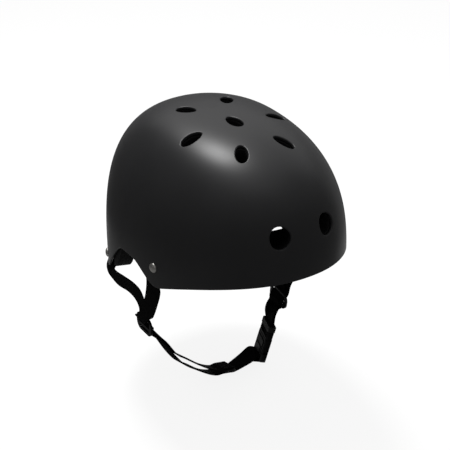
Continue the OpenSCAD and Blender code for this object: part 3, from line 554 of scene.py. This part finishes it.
def sharp_edge(b):
    rest = np.interp(b, (LOBE, NOTCH_START, NOTCH_END, NOTCH_BACK),
                     (LOBE_LOW, NOTCH_TOP, NOTCH_TOP, NAPE))
    return np.where(b < LOBE_START, brow_edge(b), rest)


def sharp_liner_edge(b):
    return np.where(b < LINER_EDGE_START, sharp_edge(b) + LINER_RECESS, np.interp(b, *LINER_EDGE))


def run_along(p):
    """Distance along a line of points."""
    return np.concatenate([[0], np.cumsum(np.linalg.norm(np.diff(p, axis=0), axis=1))])


def edge_loop(edge, skin, gap):
    """Evenly spaced angles, and points, of an edge on a skin."""
    a = np.radians(np.arange(-180, 180, 0.1))
    z = spread(edge, np.abs(np.degrees(a)))
    p = on_skin(a, z, skin)
    run = run_along(np.vstack([p, p[:1]]))
    n = int(run[-1] / gap)
    at = np.interp(np.arange(n) / n * run[-1], run, np.append(a, np.pi))
    z = spread(edge, np.abs(np.degrees(at)))
    return at, on_skin(at, z, skin)


def frames_of(loop, normals, away):
    """Directions that lie in the skin, square to a loop, on the side of away."""
    along = unit(np.roll(loop, -1, 0) - np.roll(loop, 1, 0))
    m = unit(np.cross(normals, along))
    return m * np.where((m * away).sum(-1, keepdims=True) < 0, -1, 1)


def oval(length, width, n=48):
    """An oval a little wider at one end."""
    t = np.arange(n) * 2 * np.pi / n
    return np.stack([width / 2 * np.cos(t) * (1 - 0.1 * np.sin(t)), length / 2 * np.sin(t)], -1)


# Crown vents, which are cut straight up: place, turn in degrees, length and width
CROWN_VENTS = ((0, -34, 0, 23.6, 14.4), (45, -34, 90, 22, 14), (-45, -34, -90, 22, 14),
               (22.2, -80, 28, 22, 12.8), (-22.2, -80, -28, 22, 12.8),
               (22.2, 14, 150, 22, 14), (-22.2, 14, -150, 22, 14))
# Brow and rear vents, which are cut square to the shell: angle from the front and height
WALL_VENTS = ((9.6, 97), (-9.6, 97), (167, 78), (-167, 78))
WALL_VENT_LENGTH, WALL_VENT_WIDTH = 20.4, 21.8
# Their cutting lines start at this height, and this far inside the shell's face
CROWN_VENT_START, WALL_VENT_START = 60.0, 40
# No cutting line is longer
VENT_REACH = 110.0


def vent_lines(margin):
    """For each vent: starts and direction of the lines that cut it, drawn in by a margin."""
    lines = []
    for x, y, turn, length, width in CROWN_VENTS:
        outline = oval(length - 2 * margin, width - 2 * margin)
        u, v = turned(outline[:, 0], outline[:, 1], math.radians(turn))
        start = np.column_stack([u + x, v + y, np.full(len(u), CROWN_VENT_START)])
        lines.append((start, np.tile([0, 0, 1.0], (len(u), 1))))
    outline = oval(WALL_VENT_LENGTH - 2 * margin, WALL_VENT_WIDTH - 2 * margin)
    for angle, z in WALL_VENTS:
        p = on_skin(np.radians([angle]), np.array([z]), shell_skin)
        n = outward(p, shell_skin)[0]
        level = unit(np.cross((0, 0, 1), n))
        rise = np.cross(n, level)
        start = p + outline[:, :1] * rise + outline[:, 1:] * level - n * WALL_VENT_START
        lines.append((start, np.tile(n, (len(outline), 1))))
    return lines


def cut_sheet(rim, margin, skin, lip, spacing):
    """A skin between its rim and its vents: the loops of these cuts, the normals and the ways
    from the cut along each, and a sheet of points and faces that starts a lip's radius away."""
    loops = [rim] + [meet(*line, skin, VENT_REACH) for line in vent_lines(margin)]
    normals = [outward(l, skin) for l in loops]
    away = [frames_of(loops[0], normals[0], np.array([0, 0, 1.0]))]
    away += [frames_of(l, n, l - l.mean(0)) for l, n in zip(loops[1:], normals[1:])]
    firsts = [l + m * lip for l, m in zip(loops, away)]
    grid, faces = triangulate(firsts, spacing)
    return loops, normals, away, np.vstack(firsts + [meet(CORE, ways(grid), skin)]), faces


# Turns of a rounded lip
ARC = np.radians([0, 22.5, 45, 67.5, 90])
SHELL_LIP, LINER_LIP = 1.1, 1.5
# Points along a rim lie this far apart, and those of a sheet this angle, seen from CORE
SHELL_RIM_GAP, LINER_RIM_GAP = 2.2, 3.0
SHELL_SPACING, LINER_SPACING = 3.4 / 110, 4.2 / 100
# The mould's rounded lips reach this far into each vent and below the brow
VENT_LIP, RIM_DROP = 0.9, 2.0
# The drop fades out at this angle, over so many degrees
DROP_END, DROP_FADE = 80, 30
# The liner's vents are drawn in by this much
LINER_VENT_MARGIN = 1


def lip_rows(body, loop, n, m, lip, note=0.0):
    """Rows of a rounded lip, from a face with normals n into a cut; m points away from the cut."""
    return [body.ring(loop + m * lip * (1 - np.sin(t)) - n * lip * (1 - np.cos(t)),
                      n * np.cos(t) - m * np.sin(t), note) for t in ARC[1:]]


def moulded_rim(b):
    return sharp_edge(b) - RIM_DROP * ease((DROP_END - b) / DROP_FADE)


def outer_shell():
    """The moulded shell, with rounded rim and vent edges."""
    body, lip = Skin(), SHELL_LIP
    _, rim = edge_loop(moulded_rim, shell_skin, SHELL_RIM_GAP)
    loops, normals, away, sheet, faces = cut_sheet(rim, VENT_LIP, shell_skin, lip, SHELL_SPACING)
    facing = outward(sheet, shell_skin)
    outer = body.sheet(sheet, facing, faces)
    inner = body.sheet(sheet - facing * SHELL_WALL, -facing, faces)
    for loop, n, m in zip(loops, normals, away):
        rows = lip_rows(body, loop - n * SHELL_WALL, -n, m, lip, 1.0)[::-1]
        rows = lip_rows(body, loop, n, m, lip, 1.0) + rows
        body.bands([outer] + rows + [inner], len(loop))
        outer, inner = outer + len(loop), inner + len(loop)
    return body.make("shell_moulding", ABS, "lip")


def foam_liner():
    """The foam liner: strap channels outside, smooth inside, vents right through."""
    body, lip = Skin(), LINER_LIP
    angles, rim = edge_loop(sharp_liner_edge, liner_skin, LINER_RIM_GAP)
    sides = []
    for skin, sign in ((liner_skin, 1), (liner_inner_skin, -1)):
        loops, normals, away, sheet, faces = cut_sheet(
            on_skin(angles, rim[:, 2], skin), LINER_VENT_MARGIN, skin, lip, LINER_SPACING)
        first = body.sheet(sheet, outward(sheet, skin) * sign, faces)
        sides.append((loops, [n * sign for n in normals], away, first))
    start = 0
    for k, loop in enumerate(loops):
        arcs, ends, aways = [], [], []
        for loops, normals, away, first in sides:
            arcs.append([first + start] + lip_rows(body, loops[k], normals[k], away[k], lip))
            ends.append(loops[k] - normals[k] * lip)
            aways.append(away[k])
        middle = []
        for share in (0.25, 0.5, 0.75):
            m = unit(aways[0] * (1 - share) + aways[1] * share)
            middle.append(body.ring(ends[0] * (1 - share) + ends[1] * share, -m))
        body.bands(arcs[0] + middle + arcs[1][::-1], len(loop))
        start += len(loop)
    return body.make("liner_foam", FOAM)


# Webbing. A station is a place and the way that the webbing faces there. Three more numbers
# give the way that its width lies, instead of the one square to its run.

WEBBING_HALF, WEBBING_THICK = 10.0, 1.2
# Each divider's middle, and how far its front end hangs down
DIVIDERS = {-1: (np.array([-88, -8.5, -41.0]), math.radians(-2)),
            1: (np.array([71, -6.5, -66.5]), math.radians(10))}
BUCKLE, ADJUSTER = np.array([49.4, -12, -110.3]), np.array([1.5, -9, -128.8])
BUCKLE_LEAN, BUCKLE_TURN = math.radians(15.5), math.radians(-18)
ADJUSTER_SLOPE, ADJUSTER_TILT = math.radians(12), math.radians(-12)
# The dividers' wide slot, and the layers behind its bar
SLOT_TOP, SLOT_LOW = 7.1, -0.9
OUTER_LOW, INNER_LAYER, LAYER_STEP = 2.0, -2.2, 1.9
# The side webbings clear the rim by SLACK and run on below the slot. The chin webbings meet
# them at STRAP_JOIN, so no gap shows as a divider slides up, and then leave the bar and the plate.
SLACK, BEHIND_BAR = 0.3, (0.3, 1.0, 1.6)
STRAP_JOIN, STRAP_LEAVE, STRAP_FREE = 1.65, 3.7, 8
# The bars of the buckle, the webbing's radius round them, and its rise over the adjuster's bar
HOUSING_BAR, TONGUE_BAR, WRAP, STRAP_RISE = -19.0, 13.2, 2.4, 2.2
# Room over the webbing at a rivet, and depth of the webbing's middle below the shell's face
TAB_GAP = 0.9
TAB_DEPTH = SHELL_WALL + TAB_GAP + WEBBING_THICK / 2


def tab(angle, z):
    """A station of webbing under the shell, at a rivet."""
    p = on_skin(np.radians([angle]), np.array([float(z)]), shell_skin)
    n = outward(p, shell_skin)
    return [*(p - n * TAB_DEPTH)[0], *n[0]]


def at_divider(side, v, w):
    """A station in a divider: v up and w out of its plate. Its width lies along the plate."""
    centre, tilt = DIVIDERS[side]
    return [*(centre + (side * w, *turned(0, v, tilt))), side, 0, 0, 0, *turned(side, 0, tilt)]


def through_divider(side, layer):
    """A side webbing's way over the rim, through the slot and behind the bar. Layer 1 is the
    outer one."""
    w = INNER_LAYER - (1 - layer) * LAYER_STEP
    return [at_divider(side, SLOT_TOP + SLACK, OUTER_LOW + SLACK + layer * (LAYER_STEP + 0.3)),
            at_divider(side, (SLOT_TOP + SLOT_LOW) / 2, (layer - 0.5) * (LAYER_STEP + 0.2)),
            *(at_divider(side, SLOT_LOW - drop, w) for drop in BEHIND_BAR)]


def below_divider(side, layer, extra):
    """A chin webbing's start, extra further in where it leaves the plate."""
    w = INNER_LAYER - (1 - layer) * LAYER_STEP
    return [at_divider(side, SLOT_LOW - STRAP_JOIN, w),
            at_divider(side, SLOT_LOW - STRAP_LEAVE, w),
            at_divider(side, SLOT_LOW - STRAP_FREE, w - extra)]


def buckle_turned(x, y, z):
    z, x = turned(z, x, BUCKLE_LEAN)
    return np.array([*turned(x, y, BUCKLE_TURN), z])


def at_buckle(x, z, fx, fz, y=0.0):
    return [*(BUCKLE + buckle_turned(x, y, z)), *buckle_turned(fx, 0, fz)]


def adjuster_turned(x, z):
    y, z = turned(0, z, ADJUSTER_TILT)
    z, x = turned(z, x, ADJUSTER_SLOPE)
    return np.array([x, y, z])


def at_adjuster(x, z):
    return [*(ADJUSTER + adjuster_turned(x, z)), *adjuster_turned(0, -1)]


def round_bar(bar, first, corner, face):
    """Stations half round a bar of the buckle, from first times 45 degrees on. Every other one
    lies further out by a factor, corner. The webbing faces out, or in where face is -1."""
    out = []
    for k in range(first, first + 5):
        x, z = math.sin(k * math.pi / 4), math.cos(k * math.pi / 4)
        r = WRAP * corner if k % 2 else WRAP
        out.append(at_buckle(r * x, bar + r * z, face * x, face * z))
    return out


STRAPS = {
    "front_webbing_right": [tab(-62.8, 55), tab(-62.8, 46), tab(-66, 33),
        [-93.3, -41, 19, -0.98, -0.18, 0], [-93.3, -36.5, 5.5, -1, -0.08, 0],
        [-93.4, -30.5, -8, -1, 0, 0, 0, -0.88, -0.47],
        [-93.3, -21.5, -22, -1, 0, 0, 0, -0.99, 0.1]] + through_divider(-1, 1),
    "rear_webbing_right": [tab(-122, 16), tab(-122, 8),
        [-86.6, 54.8, 1.2, -1, 0, 0, -0.1, -0.99, 0.1],
        [-88.8, 56, -5.8, -1, 0, 0, 0.1, -0.9, 0.4],
        [-90, 54.3, -11, -1, 0, 0, 0.05, -0.77, 0.64],
        [-90.4, 49.6, -13.4, -1, 0, 0, -0.1, -0.52, 0.84],
        [-90.4, 39.5, -14, -1, 0, 0, -0.15, -0.22, 0.96],
        [-90, 23.2, -11.3, -0.97, 0.05, -0.2, -0.2, -0.1, 0.97],
        [-90, 7.2, -9.9, -0.98, 0, -0.15, -0.1, -0.2, 0.97],
        [-90, -3.5, -12, -1, 0, 0, 0, -0.3, 0.95], [-90.1, -9, -18, -1, 0, 0, 0, -0.55, 0.83],
        [-90.1, -10.5, -25.5, -1, 0, 0, 0, -0.85, 0.5]] + through_divider(-1, 0),
    "front_webbing_left": [tab(62.8, 55), tab(62.8, 46), tab(66, 33),
        [91, -39, 18, 0.98, -0.2, 0], [86, -30, -5, 0.97, 0, 0], [80, -18.5, -28, 0.97, 0, 0],
        [77, -11, -44, 1, 0, 0]] + through_divider(1, 1),
    "rear_webbing_left": [tab(122, 16), tab(122, 8), tab(122, 0.5), [84.5, 54, -9, 0.85, 0.5, 0],
        [82, 48, -23, 0.95, 0.3, 0.1], [77.8, 34, -36, 1, 0.1, 0.1],
        [74.4, 17, -44, 1, 0, 0.1, 0, 0.3, -0.95], [73.3, 4, -47.5, 1, 0, 0, 0, 0.6, -0.8]] +
        through_divider(1, 0),
    "chin_webbing_inner": below_divider(-1, 0, 1.9) + [[-75.3, -4.8, -57.8, -0.85, 0, -0.5],
        [-68.6, -6, -68.2, -0.8, -0.1, -0.6], [-59, -7, -85.2, -0.75, -0.15, -0.65],
        [-49.8, -7.5, -94.3, -0.65, -0.2, -0.75], [-36.4, -8, -106.4, -0.63, -0.2, -0.74],
        [-22.7, -8, -118.2, -0.55, -0.25, -0.8], [-11.3, -8.4, -124.8, -0.35, -0.25, -0.9]] +
        [at_adjuster(x, STRAP_RISE) for x in (-7, 0, 6)],
    "chin_webbing_outer": below_divider(-1, 1, 0.4) + [[-77.4, -4.8, -59, -0.85, 0, -0.5],
        [-70.2, -6, -69.5, -0.8, -0.1, -0.6], [-60.5, -7, -87.2, -0.75, -0.15, -0.65],
        [-50.2, -7.5, -102, -0.65, -0.2, -0.75], [-36.9, -8, -113.4, -0.6, -0.2, -0.74],
        [-23.6, -8, -124.4, -0.5, -0.25, -0.8], [-12.6, -8.2, -130, -0.3, -0.25, -0.95]] +
        [at_adjuster(x, -STRAP_RISE) for x in (-7, 0, 7)] + [[19.5, -9.6, -129.4, 0.1, -0.1, -1],
        [29, -8.6, -127.4, 0.1, 0, -1], at_buckle(-8.5, HOUSING_BAR + WRAP + 0.4, 0.1, -1),
        at_buckle(-4.5, HOUSING_BAR + WRAP + 0.4, 0.1, -1)] + round_bar(HOUSING_BAR, 0, 1.02, -1) +
        [at_buckle(-5, HOUSING_BAR - WRAP, 0, 1), at_buckle(-10, HOUSING_BAR - WRAP - 0.3, 0, 1),
        at_buckle(-15.5, HOUSING_BAR - WRAP - 2.2, 0.2, 1)],
    "left_chin_webbing": below_divider(1, 1, 0.3) + [[64.6, -6.3, -79, 0.8, 0, -0.5],
        at_buckle(1, 27, 1, 0, 0.5), at_buckle(1.1, 22.5, 1, 0), at_buckle(1.5, 18, 1, 0)] +
        round_bar(TONGUE_BAR, 2, 1.01823, 1) + [at_buckle(-1.5, 18, -1, 0),
        at_buckle(-1.1, 22.5, -1, 0), at_buckle(-1, 27, -1, 0, 0.5),
        [62.7, -6.3, -78, -0.8, 0, 0.5]] + below_divider(1, 0, 0)[::-1],
}


def ahead_of(p):
    """At each point of a line, the way from the point before it to the one after."""
    at, last = np.arange(len(p)), len(p) - 1
    return p[np.minimum(at + 1, last)] - p[np.maximum(at - 1, 0)]


def route(stations, steps):
    """Places and width directions on a smooth line through the stations."""
    last, out = len(stations) - 1, []
    p = np.array([q[:3] for q in stations], float)
    wide = [q[6:] if len(q) > 6 else np.cross(q[3:6], unit(a))
            for q, a in zip(stations, ahead_of(p))]
    s = np.hstack([p, unit(np.array(wide, float))])
    for i in range(last):
        a, b, c, d = s[max(i - 1, 0)], s[i], s[i + 1], s[min(i + 2, last)]
        for t in np.arange(steps) / steps:
            out.append(0.5 * (2 * b + (c - a) * t + (2 * a - 5 * b + 4 * c - d) * t * t
                              + (3 * b - a - 3 * c + d) * t ** 3))
    line = np.array(out + [s[last]])
    return line[:, :3], unit(line[:, 3:])


def strap(name, steps=8):
    """Flat webbing swept along its stations, with round selvedges."""
    p, across = route(STRAPS[name], steps)
    ahead, run = unit(ahead_of(p)), run_along(p)
    out = unit(np.cross(ahead, across))
    half = WEBBING_THICK / 2
    reach = WEBBING_HALF - half
    # One half of the outline: place across, height, and the normal's two parts
    outline = [(x, half, 0.0, 1.0) for x in np.linspace(-reach, reach, 9)]
    outline += [(reach + half * math.sin(t), half * math.cos(t), math.sin(t), math.cos(t))
                for t in np.radians([45, 90, 135])]
    x, y, u, v = np.vstack([outline, np.negative(outline)]).T[:, :, None]
    body, rows, ends = Skin(), [], []
    for i in range(len(p)):
        points = p[i] + across[i] * x + out[i] * y
        where = np.hstack([x, np.full(x.shape, run[i]), np.zeros(x.shape)]) * MM
        rows.append(body.ring(points, across[i] * u + out[i] * v, where))
        ends.append((points, where))
    body.bands(rows, len(x))
    for i, way in ((0, -1), (-1, 1)):
        points, where = ends[i]
        end = body.ring(points, ahead[i] * way, where)
        body.bands((rows[i], end), len(x))
        body.cap(end)
    return body.make(name + "_cloth", WEAVE, "weave")


# Pads

# Thickness in the middle and at the edge, and depth of a seam
PAD_THICK, PAD_EDGE, PAD_CHANNEL = 8.0, 2.4, 3.0
# The hook tape lies between the liner and the pads, with a gap on both sides
HOOK_THICK, HOOK_GAP = 1.2, 0.4
PAD_DEPTH = HOOK_THICK + 2 * HOOK_GAP
# The share of the thickness that is drawn, and the most that the cloth adds to it
PAD_SHARE, PUFF = 0.72, 2.2
# Points are sewn down from this share of a seam's depth on. A wall pad's seams have a half width
# in cells. The crown pad's seam is a ring at a share of its reach.
SEWN, SEAM_CELLS = 0.6, 1.28
CROWN_SEAM, CROWN_SEAM_HALF = 0.5, 0.09
CROWN_COLUMNS = 64
CROWN_PAD, CROWN_PAD_Y = (34.0, 46.0), -30.0
PAD_ROWS = 14
# Name: angles, heights, seams, cells along
WALL_PADS = {
    "front_pad": ((-42, 42), (66, 90), (0.25, 0.5, 0.75), 72),
    "back_pad": ((146, 214), (6, 34), (0.33, 0.67), 54),
    "side_pad_left": ((60, 118), (56, 86), (0.5,), 44),
    "side_pad_right": ((-60, -118), (56, 86), (0.5,), 44),
}


def edge_draw(t):
    """0 at both ends of a pad, and soon 1."""
    return np.maximum(1 - np.abs(2 * t - 1) ** 4, 0) ** 0.5


def seam_draw(u, seams, half):
    """1 on a seam, down to 0 beside it."""
    return np.max([ease(1 - np.abs(u - s) / half) for s in seams], axis=0)


def swell(e, seam):
    """Thickness of a pad as drawn, less at edges and seams."""
    return PAD_EDGE + (PAD_THICK - PAD_EDGE) * e * PAD_SHARE - PAD_CHANNEL * e * seam


def closed_pad(name, front, back, rows, columns, wrap=False):
    """A pad from its front and back sheets, each rows x columns points. With wrap, the rows are
    rings and the last one closes round the middle."""
    faces, m = [], rows * columns
    for j in range(rows - 1):
        for i in range(columns if wrap else columns - 1):
            k = (i + 1) % columns
            q = (j * columns + i, j * columns + k, (j + 1) * columns + k, (j + 1) * columns + i)
            faces += [q, tuple(x + m for x in q[::-1])]
    if wrap:
        ring = list(range(columns))
        centre = tuple(range(m - columns, m))
        faces += [centre, tuple(x + m for x in centre[::-1])]
    else:
        at = np.arange(m).reshape(rows, columns)
        ring = np.concatenate([at[0], at[1:, -1], at[-1, -2::-1], at[-2:0:-1, 0]]).tolist()
    for a, b in zip(ring, ring[1:] + ring[:1]):
        faces.append((b, a, a + m, b + m))
    points = np.vstack([front.reshape(-1, 3), back.reshape(-1, 3)])
    made = new_mesh(name, (points * MM).tolist(), faces, KNIT)
    made.data.shade_smooth()
    return made


def puff(pad, held):
    """Blows a pad up between its held points, which are its sewn lines and its back."""
    group = pad.vertex_groups.new(name="sewn")
    group.add([int(i) for i in np.flatnonzero(held)], 1.0, "REPLACE")
    cloth = pad.modifiers.new("cloth", "CLOTH")
    settings = cloth.settings
    settings.quality = 6
    settings.mass = 0.2
    settings.use_pressure = True
    settings.uniform_pressure_force = 4
    settings.tension_stiffness = settings.compression_stiffness = 25
    settings.bending_stiffness = 2
    settings.vertex_group_mass = "sewn"
    settings.effector_weights.gravity = 0
    cloth.collision_settings.use_collision = False
    scene = bpy.context.scene
    for step in range(1, 21):
        scene.frame_set(step)
    blown = pad.evaluated_get(bpy.context.evaluated_depsgraph_get()).data
    n = len(pad.data.vertices)
    before, after = np.empty(n * 3), np.empty(n * 3)
    pad.data.vertices.foreach_get("co", before)
    blown.vertices.foreach_get("co", after)
    move = (after - before).reshape(-1, 3)
    far = np.linalg.norm(move, axis=1, keepdims=True)
    move *= np.minimum(1, PUFF * MM / np.maximum(far, 1e-9))
    pad.modifiers.remove(cloth)
    pad.vertex_groups.clear()
    pad.data.vertices.foreach_set("co", (before.reshape(-1, 3) + move).ravel())
    pad.data.update()
    scene.frame_set(1)


def finish_pad(pad, node):
    smooth = pad.modifiers.new("subdivision", "SUBSURF")
    smooth.levels = smooth.render_levels = 1
    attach(pad, "helmet")
    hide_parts(node)


def wall_pad(node):
    (a0, a1), (z0, z1), seams, across = WALL_PADS[node]
    u, v = np.meshgrid(np.arange(across + 1) / across, np.arange(PAD_ROWS + 1) / PAD_ROWS)
    a, z = np.radians(a0 + (a1 - a0) * u).ravel(), (z0 + (z1 - z0) * v).ravel()
    base = on_skin(a, z, liner_inner_skin)
    n = outward(base, liner_inner_skin)
    e = (edge_draw(u) * edge_draw(v)).ravel()
    seam = seam_draw(u, seams, SEAM_CELLS / across).ravel()
    front = base - n * (PAD_DEPTH + swell(e, seam))[:, None]
    back = base - n * (PAD_DEPTH + PAD_EDGE / 2 * (1 - e))[:, None]
    pad = closed_pad(node + "_cushion", front, back, PAD_ROWS + 1, across + 1)
    border = (u <= 0) | (u >= 1) | (v <= 0) | (v >= 1)
    puff(pad, np.concatenate([border.ravel() | (seam > SEWN), np.ones(len(base), bool)]))
    finish_pad(pad, node)


def crown_pad():
    s, t = np.meshgrid(1 - np.arange(PAD_ROWS) / PAD_ROWS,
                       2 * np.pi * np.arange(CROWN_COLUMNS) / CROWN_COLUMNS, indexing="ij")
    x, y = CROWN_PAD[0] * s * np.cos(t), CROWN_PAD_Y + CROWN_PAD[1] * s * np.sin(t)
    a = np.arctan2(x, -y)
    base, power = around(a, *DOME_BASE), around(a, *DOME_POWER)
    share = np.minimum(np.hypot(x, y) / plan_radius(a, LINER_IN), 1)
    z = base + (LINER_IN[3] - base) * (1 - share ** power) ** (1 / power)
    e = np.maximum(1 - s ** 5, 0) ** 0.5
    seam = seam_draw(s, (CROWN_SEAM,), CROWN_SEAM_HALF)
    low = np.stack([x, y, z - PAD_DEPTH - swell(e, seam)], -1)
    high = np.stack([x, y, z - PAD_DEPTH - PAD_EDGE / 2 * (1 - e)], -1)
    pad = closed_pad("crown_pad_cushion", low, high, PAD_ROWS, CROWN_COLUMNS, wrap=True)
    puff(pad, np.concatenate([((s >= 1) | (seam > SEWN)).ravel(), np.ones(s.size, bool)]))
    finish_pad(pad, "crown_pad")


# Pieces on the frame

# Raised panels on both faces of the buckle's housing: half width, low and high end, and rise
PANELS = ((9.0, -12.4, 4.0, 0.8), (7.0, -12.4, -4.2, 1.6))
HOUSING_FACE, PANEL_CORNER, PANEL_EDGE, PANEL_ROOT = 4.0, 1.6, 0.35, 0.5
CORNER_STEP = 15


def housing_panels():
    """The grip panels of the buckle's housing, each with a rounded rim."""
    body = Skin()
    turns = np.radians(np.arange(0, 360, CORNER_STEP) + CORNER_STEP / 2)
    round_y, round_z = np.cos(turns), np.sin(turns)
    for side in (-1, 1):
        for half, low, high, rise in PANELS:
            rows, rings = [], []
            for height, inset, lean in ((-PANEL_ROOT, 0, 0), (rise - PANEL_EDGE, 0, 0.2),
                                        (rise - 0.3 * PANEL_EDGE, 0.3 * PANEL_EDGE, 1.0),
                                        (rise, PANEL_EDGE, 4.0)):
                corner = PANEL_CORNER - inset
                y = np.sign(round_y) * (half - PANEL_CORNER) + round_y * corner
                z = np.sign(round_z) * ((high - low) / 2 - PANEL_CORNER) + round_z * corner
                x, z = side * (HOUSING_FACE + height), z + (low + high) / 2
                rings.append([BUCKLE + buckle_turned(x, *q) for q in zip(y, z)])
                normals = [buckle_turned(side * lean, *q) for q in zip(round_y, round_z)]
                rows.append(body.ring(rings[-1], normals))
            body.bands(rows, len(turns))
            body.cap(body.ring(rings[0], buckle_turned(-side, 0, 0)))
            body.cap(body.ring(rings[-1], buckle_turned(side, 0, 0)))
    return body.make("housing_panels", ACETAL)


def own_pieces():
    shell = outer_shell()
    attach(shell, "helmet")
    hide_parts("outer_shell")
    liner = foam_liner()
    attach(liner, "helmet")
    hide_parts("foam_liner")
    for node in WALL_PADS:
        wall_pad(node)
    crown_pad()
    for node in STRAPS:
        piece = strap(node)
        if "chin_webbing_" in node:
            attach(piece, "chin_loop")
        elif node == "left_chin_webbing":
            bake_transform(piece)
        else:
            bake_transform(piece)
        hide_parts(node)
    panels = housing_panels()
    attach(panels, "chin_loop")


def dress(node, material, width=0.0, segments=3):
    """A better material, and rounded edges, for a solid that stays."""
    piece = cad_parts[node]
    for slot in piece.material_slots:
        slot.material = material
    if width:
        edge = piece.modifiers.new("rounded_edges", "BEVEL")
        edge.width = width * MM
        edge.segments = segments
        edge.limit_method = "ANGLE"
        edge.angle_limit = math.radians(35)
        edge.harden_normals = True


# Floor and light

FILL = 0.6
LAMP_AZIMUTH, LAMP_ELEVATION, LAMP_DISTANCE, LAMP_SIZE, LAMP_POWER = 181, 67, 1.2, 0.32, 17.0
LAMP_AIM = Vector((0, -0.02, 0.1))
FLOOR_HALF, CARD_RADIUS = 6.0, 0.42
# The floor and the cards lie this far below the lowest piece
FLOOR_DROP, CARD_DROP = 0.002, 0.001


def lit_path(tree):
    """1 for rays from the camera, from a gloss or through a clear piece."""
    paths = add(tree, "LightPath").outputs
    first = add(tree, "Math", {0: paths["Is Camera Ray"], 1: paths["Is Glossy Ray"]},
                operation="MAXIMUM")
    return add(tree, "Math", {0: first, 1: paths["Is Transmission Ray"]}, operation="MAXIMUM")


def white_paper(tree):
    """White paper; from below it is clear."""
    # A little of the paper's white comes from the lamp, so that the helmet keeps its shadow
    paper = add(tree, "BsdfDiffuse", {"Color": linear("#6a6a6a")})
    lift = add(tree, "Math", {0: lit_path(tree), 1: 0.86}, operation="MULTIPLY")
    glow = add(tree, "Emission", {"Color": linear("#ffffff"), "Strength": lift})
    both = add(tree, "AddShader", {0: paper, 1: glow})
    below = add(tree, "NewGeometry").outputs["Backfacing"]
    return add(tree, "MixShader", {0: below, 1: both, 2: add(tree, "BsdfTransparent")})


def make_floor():
    """The paper under the helmet."""
    half, low = FLOOR_HALF, cad_box[0][2] - FLOOR_DROP
    corners = [(x * half, y * half, low) for x, y in ((-1, -1), (1, -1), (1, 1), (-1, 1))]
    floor = new_mesh("floor", corners, [(0, 1, 2, 3)], make_material("white_paper", white_paper))


def make_studio():
    """White walls, which light the helmet only a little."""
    world = bpy.data.worlds.new("studio")
    bpy.context.scene.world = world
    world.use_nodes = True
    tree = world.node_tree
    tree.nodes.clear()
    strength = add(tree, "MapRange", {"Value": lit_path(tree), "To Min": FILL, "To Max": 1.0})
    walls = add(tree, "Background", {"Color": linear("#ffffff"), "Strength": strength})
    add(tree, "OutputWorld", {"Surface": walls})


def make_lamp():
    """A small square lamp above and behind the crown."""
    way = toward(math.radians(LAMP_AZIMUTH), math.radians(LAMP_ELEVATION))
    data = bpy.data.lights.new("overhead", "AREA")
    data.size = LAMP_SIZE
    data.energy = LAMP_POWER
    lamp = new_object("overhead", data)
    lamp.location = LAMP_AIM + way * LAMP_DISTANCE
    lamp.rotation_euler = way.to_track_quat("Z", "Y").to_euler()


def make_card(name, turns, inner, top, grey):
    """A grey card on the floor and standing round the helmet, as a photographer sets one to keep a
    dark gloss dark. Only reflections see it."""
    steps = [math.radians(t) for t in range(turns[0], turns[1] + 1, 5)]
    low = cad_box[0][2] - CARD_DROP
    rows = ((inner, low), (CARD_RADIUS, low), (CARD_RADIUS, top))
    points = [(r * math.sin(t), -r * math.cos(t), z) for t in steps for r, z in rows]
    faces = [(3 * i + k, 3 * i + 3 + k, 3 * i + 4 + k, 3 * i + 1 + k)
             for i in range(len(steps) - 1) for k in (0, 1)]
    felt = make_material(name + "_felt",
                         lambda tree: add(tree, "BsdfDiffuse", {"Color": linear(grey)}))
    card = new_mesh(name, points, faces, felt)
    card.visible_camera = card.visible_diffuse = card.visible_shadow = False
    card.visible_transmission = False


make_camera()
own_pieces()
for node in ("divider_right", "divider_left", "chin_adjuster"):
    dress(node, ACETAL, 0.5)
for node in ("buckle_housing", "buckle_tongue"):
    dress(node, ACETAL, 0.35)
for node in ("buckle_prong_front", "buckle_prong_rear"):
    dress(node, ACETAL, 0.25, 2)
dress("keeper", RUBBER, 0.35)
dress("rivets", NICKEL)
dress("rivet_washers", ZINC, 0.15, 2)
dress("hook_patches", HOOKS)
make_floor()
make_studio()
make_lamp()
make_card("camera_side", (-170, 75), 0.05, 0.75, "#7e7e7e")
make_card("far_side", (75, 190), 0.05, 0.3, "#b4b4b4")
bpy.context.scene.view_settings.view_transform = "Standard"
